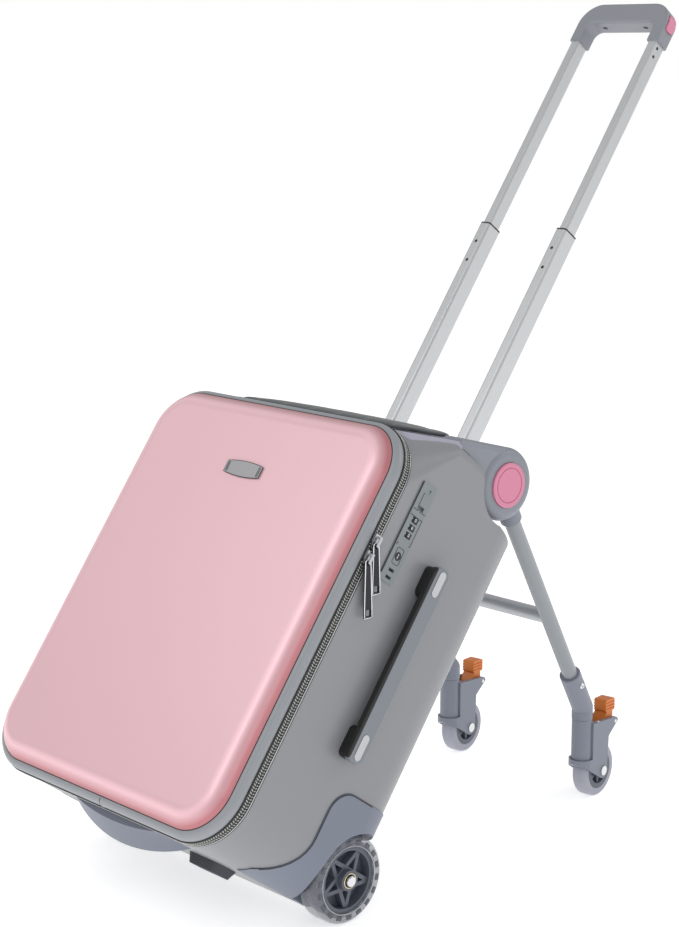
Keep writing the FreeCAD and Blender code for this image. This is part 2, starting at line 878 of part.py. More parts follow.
def make_wheel_core():
    middle = wheel_inner_x + wheel_width / 2
    rim = wheel_rod(middle - core_rim_width / 2, middle + core_rim_width / 2, core_rim_outer)
    rim = rim.cut(wheel_rod(middle - core_rim_width, middle + core_rim_width, core_rim_inner))
    hub = wheel_rod(wheel_inner_x - hub_overhang, wheel_outer_x + hub_overhang, hub_radius)
    shapes = [rim, hub]
    pitch = 360 / core_tooth_count
    tooth_chord = 2 * core_rim_outer * math.sin(math.radians(pitch * core_tooth_fill_share / 2))
    tooth_top = tread_groove_radius - core_tooth_gap
    for index in range(core_tooth_count):
        tooth = span_box(middle - core_tooth_width / 2, middle + core_tooth_width / 2,
                         axle_y - tooth_chord / 2, axle_y + tooth_chord / 2,
                         axle_z + core_rim_inner + (core_rim_outer - core_rim_inner) / 2, axle_z + tooth_top)
        tooth.rotate(V(middle, axle_y, axle_z), V(1, 0, 0), pitch * index)
        shapes.append(tooth)
    face = middle + core_rim_width / 2 - star_bar_set_in
    point_turn = 360 / star_point_count
    radius = (core_rim_inner + core_rim_outer) / 2
    half = math.radians(point_turn)
    offset = radius * math.cos(half)
    reach = radius * math.sin(half)
    for index in range(star_point_count):
        bar = span_box(face - star_bar_depth, face, axle_y - reach, axle_y + reach,
                       axle_z + offset - star_bar_width / 2, axle_z + offset + star_bar_width / 2)
        bar.rotate(V(middle, axle_y, axle_z), V(1, 0, 0), point_turn * index)
        shapes.append(bar)
    web = wheel_rod(face - star_bar_depth - star_bar_set_in, face - star_bar_depth, radius)
    shapes.append(web)
    core = fused(shapes)
    bearing_seat = wheel_rod(wheel_outer_x + hub_overhang - bearing_width, 2 * case_half, bearing_radius)
    bore = wheel_rod(bay_inner_x, 2 * case_half, axle_bolt_radius + running_gap)
    return core.cut([bearing_seat, bore]).removeSplitter()


def make_wheel_bearing():
    outer_x = wheel_outer_x + hub_overhang
    ring = wheel_rod(outer_x - bearing_width, outer_x, bearing_radius - running_gap)
    return ring.cut(wheel_rod(bay_inner_x, 2 * case_half, axle_bolt_radius + running_gap))


def make_wheel_tyre():
    middle = wheel_inner_x + wheel_width / 2
    ring = wheel_rod(wheel_inner_x, wheel_outer_x, wheel_radius)
    shoulder = wheel_radius - tread_groove_radius

    def on_tread(box):
        on_side = flat_at(wheel_inner_x)(box.XMin, box.XMax) or flat_at(wheel_outer_x)(box.XMin, box.XMax)
        return on_side and box.YLength > 2 * tread_groove_radius

    ring = ring.makeFillet(shoulder, edges_where(ring, on_tread))
    groove = wheel_rod(middle - tread_groove_width / 2, middle + tread_groove_width / 2, tread_groove_radius)
    return ring.cut([wheel_rod(bay_inner_x, 2 * case_half, core_rim_outer + running_gap), groove])


def make_foot():
    wires = []
    for z, inset in ((rim_bottom, 0), (rim_bottom - foot_height, foot_taper)):
        wires.append(rounded_wire(level(z), foot_x - foot_width / 2 + inset, foot_x + foot_width / 2 - inset,
                                  foot_front + inset / 2, foot_front + foot_depth - inset / 2, foot_round))
    return Part.makeLoft(wires, True, True)


def bottom_grip_sizes(y, inset):
    # Half width and lowest level of the grip's outline at one depth.
    share = (y - bottom_grip_front) / bottom_grip_depth
    grown_half = (bottom_grip_half_width - bottom_grip_front_half_width) * share
    grown_height = (bottom_grip_height - bottom_grip_front_height) * share
    half = bottom_grip_front_half_width + grown_half - inset
    return half, rim_bottom - bottom_grip_front_height - grown_height + inset


def make_bottom_grip():
    # A half disc that grows towards the back, hollowed from behind for the finger tips.
    back = bottom_grip_front + bottom_grip_depth
    outer, inner = [], []
    for y in (bottom_grip_front, back):
        half, low = bottom_grip_sizes(y, 0)
        outer.append(outline(across(y), [(-half, rim_bottom), ((0, low), (half, rim_bottom))]))
    for y in (bottom_grip_front + 2 * bottom_grip_wall, back + overrun):
        half, low = bottom_grip_sizes(y, bottom_grip_wall)
        inner.append(outline(across(y), [
            (-half, rim_bottom + overrun),
            (-half, rim_bottom),
            ((0, low), (half, rim_bottom)),
            (half, rim_bottom + overrun),
        ]))
    return Part.makeLoft(outer, True, True).cut(Part.makeLoft(inner, True, True))


# Lid pieces

def panel_block(inset):
    # The pillow: a rounded slab whose front edge is rolled, cut off at the frame's face.
    roll = panel_roll - inset
    crown = panel_crown - inset
    out = panel_roll - math.sqrt(panel_roll ** 2 - (panel_roll - panel_crown) ** 2) - inset
    half = panel_width / 2 + out
    wire = rounded_wire(across(-crown), -half, half, -out, panel_height + out, panel_corner + out)
    slab = prism(wire, V(0, crown + panel_roll, 0))
    front = edges_where(slab, lambda box: flat_at(-crown)(box.YMin, box.YMax))
    slab = slab.makeFillet(roll, front)
    keep = span_box(-panel_width, panel_width, -2 * panel_crown, 0, -panel_height, 2 * panel_height)
    return slab.common(keep)


def make_lid_panel():
    return panel_block(0).cut(panel_block(panel_wall))


def make_lid_frame():
    ring = prism(rim_wire(0, 0), V(0, lid_frame_depth, 0))
    front = edges_where(ring, lambda box: flat_at(0)(box.YMin, box.YMax))
    ring = ring.makeFillet(lid_frame_round, front)
    hollow = prism(rim_wire(lid_frame_wall, -lid_frame_wall), V(0, lid_frame_depth, 0))
    half = panel_width / 2 - panel_ledge
    window = rounded_wire(across(-overrun), -half, half, panel_ledge, panel_height - panel_ledge,
                          panel_corner - panel_ledge)
    return ring.cut([hollow, prism(window, V(0, 2 * lid_frame_depth, 0))])


def make_badge_plate():
    half = badge_width / 2
    low = badge_z - badge_height / 2 + badge_bulge
    high = badge_z + badge_height / 2 - badge_bulge
    wire = outline(across(-panel_crown - badge_thickness), [
        (-half, low),
        ((0, low - badge_bulge), (half, low)),
        (half, high),
        ((0, high + badge_bulge), (-half, high)),
    ])
    return prism(wire, V(0, badge_thickness, 0))


def zipper_ring(y):
    outer = prism(rim_wire(y, zipper_proud), V(0, zipper_half_width, 0))
    inner = prism(rim_wire(y - overrun, -zipper_sunk), V(0, zipper_half_width + 2 * overrun, 0))
    return outer.cut(inner)


def make_zipper_tape_lid():
    return zipper_ring(zipper_front)


def make_zipper_tape_body():
    return zipper_ring(zipper_front + zipper_half_width + zipper_slit)


# Zipper sliders and pulls on the right wall

slider_face = case_half + zipper_proud + touch_gap
bridge_top = slider_face + slider_thickness + bridge_height
eye_x = slider_face + slider_thickness + (bridge_height - bridge_thickness) / 2
eye_drop = (slider_length / 2 + bridge_thickness) / 2


def make_zipper_slider(z):
    half = slider_length / 2
    wide = slider_width / 2
    waist = wide * slider_waist_share
    wire = Part.makePolygon([
        V(slider_face, zipper_middle - waist, z - half), V(slider_face, zipper_middle + waist, z - half),
        V(slider_face, zipper_middle + wide, z), V(slider_face, zipper_middle + wide, z + half),
        V(slider_face, zipper_middle - wide, z + half), V(slider_face, zipper_middle - wide, z),
        V(slider_face, zipper_middle - waist, z - half),
    ])
    plate = prism(wire, V(slider_thickness, 0, 0))
    plate_top = slider_face + slider_thickness
    reach = half / 2 + bridge_thickness
    loop = span_box(plate_top - bridge_thickness / 2, bridge_top, zipper_middle - bridge_width / 2,
                    zipper_middle + bridge_width / 2, z - reach, z + reach)
    gap = span_box(plate_top, bridge_top - bridge_thickness, zipper_middle - bridge_width,
                   zipper_middle + bridge_width, z - half / 2, z + half / 2)
    return plate.fuse(loop.cut(gap)).removeSplitter()


def make_zipper_pull(z, length):
    # A tab that hangs straight down from a ring on the bridge's lower post, with an open loop at its end.
    eye = ride(V(eye_x, zipper_middle, z - eye_drop))
    x = eye.x - pull_thickness / 2
    drop = -length
    neck = pull_neck_width / 2
    waist = pull_waist_width / 2
    loop_top = drop + pull_loop_length

    def at(u, v):
        return V(x, eye.y + u, eye.z + v)

    tab = Part.makePolygon([at(-neck, 0), at(neck, 0), at(waist, loop_top), at(waist, drop),
                            at(-waist, drop), at(-waist, loop_top), at(-neck, 0)])
    tab = prism(tab, V(pull_thickness, 0, 0))
    ring = rod(at(0, 0), at(0, 0) + V(pull_thickness, 0, 0), pull_eye_radius)
    wall = pull_loop_wall
    hole = Part.makePolygon([at(-waist + wall, loop_top - wall), at(waist - wall, loop_top - wall),
                             at(waist - wall, drop + wall), at(-waist + wall, drop + wall),
                             at(-waist + wall, loop_top - wall)])
    eye_hole = rod(at(0, 0) - V(overrun, 0, 0), at(0, 0) + V(overrun, 0, 0), pull_eye_hole)
    return tab.fuse(ring).cut([prism(hole, V(pull_thickness, 0, 0)), eye_hole]).removeSplitter()


# Lock on the right wall

dial_axis_x = case_half + lock_plate + dial_proud - dial_radius


def make_lock_housing():
    face = case_half + lock_plate
    wire = rounded_wire(along(case_half), lock_front, lock_back, lock_low, lock_high, lock_plate_round)
    plate = prism(wire, V(lock_plate, 0, 0))
    housing = plate.fuse(lock_box(0).cut(span_box(case_half, 2 * case_half, 0, case_depth, 0, case_top)))
    cuts = []
    for index in range(dial_count):
        z = dial_z(index)
        half = dial_width / 2 + dial_gap
        cuts.append(rod(V(dial_axis_x, dial_middle_y, z - half), V(dial_axis_x, dial_middle_y, z + half),
                        dial_radius + dial_gap))
    tail = dial_pin_tail + dial_count * dial_pitch / 2
    cuts.append(rod(V(dial_axis_x, dial_middle_y, dial_middle_z - tail),
                    V(dial_axis_x, dial_middle_y, dial_middle_z + tail), dial_pin_radius))
    cuts.append(rod(V(face - key_depth, key_y, key_z), V(face + overrun, key_y, key_z),
                    key_radius + running_gap))
    room = slider_button_room / 2
    cuts.append(span_box(face - slider_button_sunk - touch_gap, face + overrun,
                         dial_middle_y - slider_button_width / 2 - touch_gap,
                         dial_middle_y + slider_button_width / 2 + touch_gap,
                         slider_button_z - slider_button_length / 2 - 2 * room - touch_gap,
                         slider_button_z + slider_button_length / 2 + touch_gap))
    for z in (pull_slot_upper_z, pull_slot_lower_z):
        cuts.append(span_box(face - pull_slot_depth, face + overrun, dial_middle_y - pull_slot_width / 2,
                             dial_middle_y + pull_slot_width / 2, z - pull_slot_height / 2,
                             z + pull_slot_height / 2))
    return housing.cut(cuts).removeSplitter()


def dial_z(index):
    return dial_middle_z + (index - (dial_count - 1) / 2) * dial_pitch


def make_lock_dial(index):
    z = dial_z(index)
    start = V(dial_axis_x, dial_middle_y, z - dial_width / 2)
    end = V(dial_axis_x, dial_middle_y, z + dial_width / 2)
    return rod(start, end, dial_radius).cut(rod(start, end, dial_pin_radius + running_gap))


def make_lock_dial_pin():
    tail = dial_pin_tail + dial_count * dial_pitch / 2
    return rod(V(dial_axis_x, dial_middle_y, dial_middle_z - tail),
               V(dial_axis_x, dial_middle_y, dial_middle_z + tail), dial_pin_radius)


def make_lock_cylinder():
    face = case_half + lock_plate
    plug = rod(V(face - key_depth + touch_gap, key_y, key_z), V(face, key_y, key_z), key_radius)
    slot = span_box(face - key_slot_depth, face + overrun,
                    key_y - key_slot_width / 2, key_y + key_slot_width / 2,
                    key_z - key_slot_length / 2, key_z + key_slot_length / 2)
    return plug.cut(slot)


def make_lock_button():
    face = case_half + lock_plate
    return span_box(face - slider_button_sunk, face + slider_button_proud,
                    dial_middle_y - slider_button_width / 2, dial_middle_y + slider_button_width / 2,
                    slider_button_z - slider_button_length / 2, slider_button_z + slider_button_length / 2)


# Side handle on the right wall

side_bar_inner = case_half + side_base_height + touch_gap
side_bar_outer = side_bar_inner + side_bar_thickness


def side_base_span(upper):
    low = side_handle_low + side_base_inset
    if upper:
        low = side_handle_high - side_base_inset - side_base_length
    return low, low + side_base_length


def side_leg(upper, gap, depth):
    low, high = side_base_span(upper)
    wall = side_leg_wall - gap
    front = side_handle_front + side_base_inset + wall
    back = side_handle_back - side_base_inset - wall
    return span_box(side_bar_inner - depth, side_bar_inner + touch_gap, front, back, low + wall, high - wall)


def make_side_handle_bases():
    bases = []
    for upper in (False, True):
        low, high = side_base_span(upper)
        wire = rounded_wire(along(case_half), side_handle_front + side_base_inset,
                            side_handle_back - side_base_inset, low, high, side_end_round - side_base_inset)
        base = prism(wire, V(side_base_height, 0, 0))
        bases.append(base.cut(side_leg(upper, side_leg_gap, side_leg_depth + side_leg_gap)))
    return Part.makeCompound(bases)


def inlay_wire(upper, x, gap):
    low = side_handle_low + side_inlay_set_in
    if upper:
        low = side_handle_high - side_inlay_set_in - side_inlay_length
    middle = (side_handle_front + side_handle_back) / 2
    half = side_inlay_half_width + gap
    return rounded_wire(along(x), middle - half, middle + half, low - gap, low + side_inlay_length + gap,
                        half - running_gap)


def make_side_handle_bar():
    wire = rounded_wire(along(side_bar_inner), side_handle_front, side_handle_back, side_handle_low,
                        side_handle_high, side_end_round)
    bar = prism(wire, V(side_bar_thickness, 0, 0))
    rim = edges_where(bar, lambda box: flat_at(side_bar_outer)(box.XMin, box.XMax))
    bar = bar.makeFillet(side_bar_round, rim)
    low = side_base_span(False)[1]
    high = side_base_span(True)[0]
    pad = span_box(side_bar_inner - side_pad_thickness, side_bar_inner + touch_gap,
                   side_handle_front + side_base_inset, side_handle_back - side_base_inset,
                   low + side_base_inset, high - side_base_inset)
    legs = [side_leg(upper, 0, side_leg_depth) for upper in (False, True)]
    bar = fused([bar, pad] + legs)
    cuts = []
    for upper in (False, True):
        cuts.append(prism(inlay_wire(upper, side_bar_outer - side_inlay_depth, 0), V(overrun, 0, 0)))
    return bar.cut(cuts)


def make_side_handle_inlays():
    inlays = []
    for upper in (False, True):
        wire = inlay_wire(upper, side_bar_outer - side_inlay_depth, -running_gap)
        inlays.append(prism(wire, V(side_inlay_depth + side_inlay_proud, 0, 0)))
    return Part.makeCompound(inlays)


# Trolley handle

def make_trolley_outer_tubes():
    tube = tube_block(outer_tube_width - 2 * running_gap, outer_tube_depth - 2 * running_gap,
                      outer_tube_bottom, outer_tube_top)
    bore = tube_block(outer_tube_width - 2 * tube_wall, outer_tube_depth - 2 * tube_wall,
                      outer_tube_bottom - overrun, outer_tube_top + overrun)
    return pair(tube.cut(bore))


def make_trolley_foot_bracket():
    block = span_box(-foot_bracket_half_width, foot_bracket_half_width, foot_bracket_front,
                     case_depth - shell_wall, foot_bracket_low, foot_bracket_high)
    seat = tube_block(outer_tube_width, outer_tube_depth, outer_tube_bottom, foot_bracket_high + overrun)
    return block.cut([seat, mirrored(seat)])


def make_trolley_mid_tubes():
    tube = tube_block(mid_tube_width, mid_tube_depth, mid_top - mid_length, mid_top)
    bore = tube_block(mid_tube_width - 2 * tube_wall, mid_tube_depth - 2 * tube_wall,
                      mid_top - mid_length - overrun, mid_top + overrun)
    return pair(tube.cut(bore))


def make_trolley_bushings():
    wall = tube_wall + running_gap
    plug = tube_block(mid_tube_width - 2 * wall, mid_tube_depth - 2 * wall, mid_top - bushing_length, mid_top)
    lip = tube_block(mid_tube_width, mid_tube_depth, mid_top, mid_top + bushing_lip)
    way = tube_block(inner_tube_width + 2 * tube_slide_gap, inner_tube_depth + 2 * tube_slide_gap,
                     mid_top - bushing_length - overrun, mid_top + bushing_lip + overrun)
    return pair(plug.fuse(lip).removeSplitter().cut(way))


def make_trolley_inner_tubes():
    top = grip_bottom + grip_socket_depth - touch_gap
    tube = tube_block(inner_tube_width, inner_tube_depth, inner_top - inner_length, top)
    bore = tube_block(inner_tube_width - 2 * tube_wall, inner_tube_depth - 2 * tube_wall,
                      inner_top - inner_length - overrun, top + overrun)
    return pair(tube.cut(bore))


def button_block(gap, outer_x, inner_x):
    low = button_low - gap
    half = button_depth / 2 + gap
    wire = rounded_wire(along(inner_x), trolley_y - half, trolley_y + half, low,
                        low + button_height + 2 * gap, button_round)
    return prism(wire, V(outer_x - inner_x, 0, 0))


def make_handle_grip():
    front = trolley_y - grip_depth / 2
    bend = grip_outer_corner
    bend_x = grip_half_width - bend
    bend_z = grip_top - bend
    outer = outline(across(front), [
        (-grip_half_width, grip_bottom),
        (grip_half_width, grip_bottom),
        (grip_half_width, bend_z),
        (on_circle((bend_x, bend_z), bend, 45), (bend_x, grip_top)),
        (-bend_x, grip_top),
        (on_circle((-bend_x, bend_z), bend, 135), (-grip_half_width, bend_z)),
    ])
    half = grip_half_width - grip_leg_width
    roof = grip_top - grip_bridge_height
    corner = grip_inner_corner
    window = outline(across(front - overrun), [
        (-half, grip_bottom - overrun),
        (half, grip_bottom - overrun),
        (half, roof - corner),
        (on_circle((half - corner, roof - corner), corner, 45), (half - corner, roof)),
        (-half + corner, roof),
        (on_circle((-half + corner, roof - corner), corner, 135), (-half, roof - corner)),
    ])
    grip = prism(outer, V(0, grip_depth, 0)).cut(prism(window, V(0, grip_depth + 2 * overrun, 0)))
    back = front + grip_depth

    def on_face(box):
        return flat_at(front)(box.YMin, box.YMax) or flat_at(back)(box.YMin, box.YMax)

    ring = edges_where(grip, lambda box: on_face(box) and not flat_at(grip_bottom)(box.ZMin, box.ZMax))
    grip = grip.makeFillet(grip_edge_round, ring)
    socket = tube_block(inner_tube_width, inner_tube_depth, grip_bottom - overrun,
                        grip_bottom + grip_socket_depth)
    room_x = grip_half_width - button_sunk - button_travel_room
    room = button_block(button_gap, grip_half_width + overrun, room_x)
    return grip.cut([socket, mirrored(socket), room]).removeSplitter()


def make_handle_button():
    # Follows the grip's rounded end, standing a little proud of it.
    body = button_block(0, grip_half_width + button_proud, grip_half_width - button_sunk)
    corner = grip_outer_corner + button_proud
    center = (grip_half_width - grip_outer_corner, grip_top - grip_outer_corner)
    dome = outline(across(trolley_y - grip_depth), [
        (0, grip_bottom - overrun),
        (grip_half_width + button_proud, grip_bottom - overrun),
        (grip_half_width + button_proud, center[1]),
        (on_circle(center, corner, 45), (center[0], center[1] + corner)),
        (0, center[1] + corner),
    ])
    return body.common(prism(dome, V(0, 2 * grip_depth, 0)))


# Leg frame and casters, in the ride frame

pivot_ride = ride(V(0, pivot_y, pivot_z))
axle_ride = ride(V(0, axle_y, axle_z))
stem_y = axle_ride.y + stem_reach
elbow = V(stem_x, stem_y, elbow_height)
leg_top = V(leg_top_x, pivot_ride.y, pivot_ride.z)
leg_way = (elbow - leg_top).normalize()
leg_rest_turn = case_tilt + math.degrees(math.atan2(leg_way.y, -leg_way.z))


def leg_point(distance):
    return leg_top + leg_way * distance


leg_span = (elbow - leg_top).Length
leg_end = leg_span - socket_length + socket_depth


def make_leg_tubes():
    tube = rod(leg_point(leg_start), leg_point(leg_end), leg_radius)
    bore = rod(leg_point(leg_start - overrun), leg_point(leg_end + overrun), leg_radius - leg_wall)
    return pair(tube.cut(bore))


def make_leg_knuckles():
    half = knuckle_width / 2
    disc = rod(V(knuckle_middle - half, pivot_ride.y, pivot_ride.z),
               V(knuckle_middle + half, pivot_ride.y, pivot_ride.z), knuckle_radius)
    collar = rod(leg_point(0), leg_point(collar_length), collar_radius)
    side_room = [span_box(0, knuckle_middle - half, -case_depth, 2 * case_top, 0, 2 * case_top),
                 span_box(knuckle_middle + half, 2 * case_half, -case_depth, 2 * case_top, 0, 2 * case_top)]
    collar = collar.cut([room.common(rod(V(0, pivot_ride.y, pivot_ride.z), V(2 * case_half, pivot_ride.y,
                         pivot_ride.z), barrel_radius + knuckle_gap)) for room in side_room])
    seat = rod(leg_point(leg_start), leg_point(2 * collar_length), leg_radius)
    pin = rod(V(0, pivot_ride.y, pivot_ride.z), V(2 * case_half, pivot_ride.y, pivot_ride.z),
              pin_radius + running_gap)
    return pair(disc.fuse(collar).cut([seat, pin]).removeSplitter())


def make_leg_cross_bar():
    at = leg_point(cross_bar_along)
    bar = rod(V(-at.x, at.y, at.z), at, cross_bar_radius)
    leg = rod(leg_top, elbow, leg_radius)
    return bar.cut([leg, mirrored(leg)])


def make_caster_sockets():
    upper = rod(leg_point(leg_span - socket_length), elbow, socket_radius)
    knee = Part.makeSphere(socket_radius, elbow)
    lower = rod(V(stem_x, stem_y, fork_top + fork_seam), elbow, socket_radius)
    tube_seat = rod(leg_point(leg_span - socket_length - overrun), leg_point(leg_end), leg_radius)
    pin_hole = rod(V(stem_x, stem_y, fork_top - overrun), V(stem_x, stem_y, swivel_pin_top + fork_seam),
                   swivel_pin_radius + running_gap)
    return pair(fused([upper, knee, lower]).cut([tube_seat, pin_hole]).removeSplitter())


def caster_point(x, y, z):
    # A point of the right caster, measured from its swivel axis, trailing back.
    return V(stem_x + x, stem_y + y, z)


def swung(shape, side):
    # Turns a caster piece about its swivel axis to the pose that it trails in.
    turned = shape.copy()
    turned.rotate(V(stem_x, stem_y, 0), V(0, 0, 1), side * caster_swivel)
    return turned if side > 0 else mirrored(turned)


def caster_rod(x0, x1, y, z, radius):
    return rod(caster_point(x0, y, z), caster_point(x1, y, z), radius)


def make_caster_fork():
    axle = (caster_trail, caster_wheel_radius)

    def at(y, z):
        return V(stem_x - fork_half_width, stem_y + y, z)

    wire = outline(at, [
        (-fork_lip_reach, fork_lip_height),
        (-fork_lip_reach, fork_lip_height - ear_radius),
        on_circle(axle, fork_axle_boss, 225),
        (on_circle(axle, fork_axle_boss, -60), on_circle(axle, fork_axle_boss, 15)),
        (fork_rear_reach + fork_axle_boss, fork_shoulder_height),
        (ear_reach + ear_radius, ear_height),
        (on_circle((ear_reach, ear_height), ear_radius, 45), (ear_reach, ear_height + ear_radius)),
        (fork_stem_radius, ear_deck_height),
        (-fork_stem_radius, ear_deck_height),
        (-fork_stem_radius, fork_lip_height + fork_lip_reach),
    ])
    cheeks = prism(wire, V(2 * fork_half_width, 0, 0))
    lip = rod(caster_point(0, 0, caster_wheel_radius - fork_axle_boss),
              caster_point(0, 0, fork_lip_height), fork_half_width + touch_gap)
    tail_room = span_box(stem_x - 2 * fork_half_width, stem_x + 2 * fork_half_width,
                         stem_y + fork_cheek_set_back, stem_y + case_depth, 0, case_top)
    cheeks = cheeks.common(lip.fuse(tail_room))
    stem = rod(caster_point(0, 0, fork_lip_height), caster_point(0, 0, fork_top), fork_stem_radius)
    fork = fused([cheeks, stem])
    slot_half = caster_wheel_width / 2 + fork_slot_gap
    wheel_room = caster_rod(-slot_half, slot_half, caster_trail, caster_wheel_radius,
                            caster_wheel_radius + fork_wheel_gap)
    brake_room = span_box(stem_x - slot_half, stem_x + slot_half, stem_y + fork_stem_radius + fork_slot_gap,
                          stem_y + case_depth, caster_wheel_radius, fork_top + overrun)
    wide = 2 * fork_half_width
    axle_hole = caster_rod(-wide, wide, caster_trail, caster_wheel_radius, caster_axle_radius)
    brake_hole = caster_rod(-wide, wide, ear_reach, ear_height, brake_pin_radius)
    pin_hole = rod(caster_point(0, 0, swivel_pin_bottom), caster_point(0, 0, fork_top + overrun),
                   swivel_pin_radius)
    return fork.cut([wheel_room, brake_room, axle_hole, brake_hole, pin_hole]).removeSplitter()


def make_caster_pin():
    return rod(caster_point(0, 0, swivel_pin_bottom), caster_point(0, 0, swivel_pin_top), swivel_pin_radius)


def make_caster_axles():
    # Wheel axle with two round heads, and the brake lever's pin.
    axle = caster_rod(-fork_half_width, fork_half_width, caster_trail, caster_wheel_radius,
                      caster_axle_radius)
    shapes = [axle]
    for side in (-1, 1):
        head = caster_rod(side * fork_half_width, side * (fork_half_width + caster_axle_head), caster_trail,
                          caster_wheel_radius, caster_axle_head_radius)
        shapes.append(head)
    pin = caster_rod(-fork_half_width, fork_half_width, ear_reach, ear_height, brake_pin_radius)
    return Part.makeCompound([fused(shapes), pin])


def make_caster_wheel():
    half = caster_wheel_width / 2
    rim_outer = caster_wheel_radius - caster_tread_depth
    rim = caster_rod(-half, half, caster_trail, caster_wheel_radius, rim_outer)
    rim = rim.cut(caster_rod(-half, half, caster_trail, caster_wheel_radius, caster_rim_inner))
    hub = caster_rod(-half, half, caster_trail, caster_wheel_radius, caster_hub_radius)
    shapes = [rim, hub]
    center = caster_point(0, caster_trail, caster_wheel_radius)
    reach = (caster_rim_inner + rim_outer) / 2
    for index in range(caster_spoke_count):
        spoke = span_box(center.x - half + caster_rim_wall, center.x + half - caster_rim_wall,
                         center.y - caster_spoke_width / 2, center.y + caster_spoke_width / 2,
                         center.z, center.z + reach)
        spoke.rotate(center, V(1, 0, 0), 360 / caster_spoke_count * index)
        shapes.append(spoke)
    bore = caster_rod(-2 * half, 2 * half, caster_trail, caster_wheel_radius,
                      caster_axle_radius + running_gap)
    return fused(shapes).cut(bore).removeSplitter()


def make_caster_tyre():
    half = caster_wheel_width / 2
    ring = caster_rod(-half, half, caster_trail, caster_wheel_radius, caster_wheel_radius)
    ring = ring.makeFillet(caster_tread_depth * caster_tread_round_share,
                           edges_where(ring, lambda box: box.XLength < touch_gap))
    bore = caster_rod(-2 * half, 2 * half, caster_trail, caster_wheel_radius,
                      caster_wheel_radius - caster_tread_depth + running_gap)
    return ring.cut(bore)


def make_brake_lever():
    def at(y, z):
        return V(stem_x - brake_half_width, stem_y + y, z)

    r = brake_pad_round
    wire = rounded_wire(at, brake_pad_front, brake_pad_back, brake_pad_low, brake_pad_high, r)
    pad = prism(wire, V(2 * brake_half_width, 0, 0))
    pitch = (brake_pad_high - brake_pad_low) / (brake_rib_count + 1)
    ribs = []
    for index in range(brake_rib_count):
        z = brake_pad_low + pitch * (index + 1)
        ribs.append(span_box(stem_x + brake_half_width - brake_rib_depth, stem_x + 2 * brake_half_width,
                             stem_y, stem_y + case_depth, z - brake_rib_width / 2, z + brake_rib_width / 2))
    ribs += [mirrored_about_stem(rib) for rib in ribs]
    neck = outline(at, [
        (brake_neck_front, brake_pad_low + r),
        (brake_neck_back, brake_pad_low + r),
        (ear_reach + brake_boss_radius / 2, ear_height),
        (brake_shoe_front, brake_shoe_low),
        (brake_shoe_front - r, brake_shoe_low + r),
    ])
    neck = prism(neck, V(2 * brake_half_width, 0, 0))
    boss = caster_rod(-brake_half_width, brake_half_width, ear_reach, ear_height, brake_boss_radius)
    hole = caster_rod(-2 * fork_half_width, 2 * fork_half_width, ear_reach, ear_height,
                      brake_pin_radius + running_gap)
    return fused([pad.cut(ribs), neck, boss]).cut(hole).removeSplitter()


def mirrored_about_stem(shape):
    return shape.mirror(V(stem_x, 0, 0), V(1, 0, 0))


# The assembly

case_pieces = {
    "body_shell": make_body_shell,
    "lining_panel": make_lining_panel,
    "seat_base": make_seat_base,
    "seat_cushion": make_seat_cushion,
    "pivot_housing": make_pivot_housing,
    "pivot_caps": lambda: pair(make_pivot_cap()),
    "pivot_pins": lambda: pair(make_pivot_pin()),
    "trolley_outer_tubes": make_trolley_outer_tubes,
    "trolley_foot_bracket": make_trolley_foot_bracket,
    "trolley_mid_tubes": make_trolley_mid_tubes,
    "trolley_bushings": make_trolley_bushings,
    "trolley_inner_tubes": make_trolley_inner_tubes,
    "handle_grip": make_handle_grip,
    "handle_button": make_handle_button,
    "zipper_tape_body": make_zipper_tape_body,
    "zipper_tape_lid": make_zipper_tape_lid,
    "lid_frame": make_lid_frame,
    "lid_panel": make_lid_panel,
    "badge_plate": make_badge_plate,
    "zipper_slider_upper": lambda: make_zipper_slider(slider_upper_z),
    "zipper_slider_lower": lambda: make_zipper_slider(slider_lower_z),
    "lock_housing": make_lock_housing,
    "lock_dial_1": lambda: make_lock_dial(0),
    "lock_dial_2": lambda: make_lock_dial(1),
    "lock_dial_3": lambda: make_lock_dial(2),
    "lock_dial_pin": make_lock_dial_pin,
    "lock_cylinder": make_lock_cylinder,
    "lock_button": make_lock_button,
    "side_handle_bases": make_side_handle_bases,
    "side_handle_bar": make_side_handle_bar,
    "side_handle_inlays": make_side_handle_inlays,
    "wheel_housing_right": make_wheel_housing,
    "wheel_housing_left": lambda: mirrored(make_wheel_housing()),
    "axle_bolts": lambda: pair(make_axle_bolt()),
    "wheel_core_right": make_wheel_core,
    "wheel_core_left": lambda: mirrored(make_wheel_core()),
    "wheel_bearing_right": make_wheel_bearing,
    "wheel_bearing_left": lambda: mirrored(make_wheel_bearing()),
    "wheel_tyre_right": make_wheel_tyre,
    "wheel_tyre_left": lambda: mirrored(make_wheel_tyre()),
    "feet": lambda: pair(make_foot()),
    "bottom_grip": make_bottom_grip,
}

ride_pieces = {
    "zipper_pull_upper": lambda: make_zipper_pull(slider_upper_z, pull_upper_length),
    "zipper_pull_lower": lambda: make_zipper_pull(slider_lower_z, pull_lower_length),
    "leg_tubes": make_leg_tubes,
    "leg_knuckles": make_leg_knuckles,
    "leg_cross_bar": make_leg_cross_bar,
    "caster_sockets": make_caster_sockets,
}

caster_pieces = {
    "caster_fork": make_caster_fork,
    "caster_pin": make_caster_pin,
    "caster_axle": make_caster_axles,
    "caster_wheel": make_caster_wheel,
    "caster_tyre": make_caster_tyre,
    "brake_lever": make_brake_lever,
}

pieces = {}
for name, make in case_pieces.items():
    pieces[name] = lean(make())
for name, make in ride_pieces.items():
    pieces[name] = make()
for name, make in caster_pieces.items():
    shape = make()
    pieces[name + "_right"] = swung(shape, 1)
    pieces[name + "_left"] = swung(shape, -1)

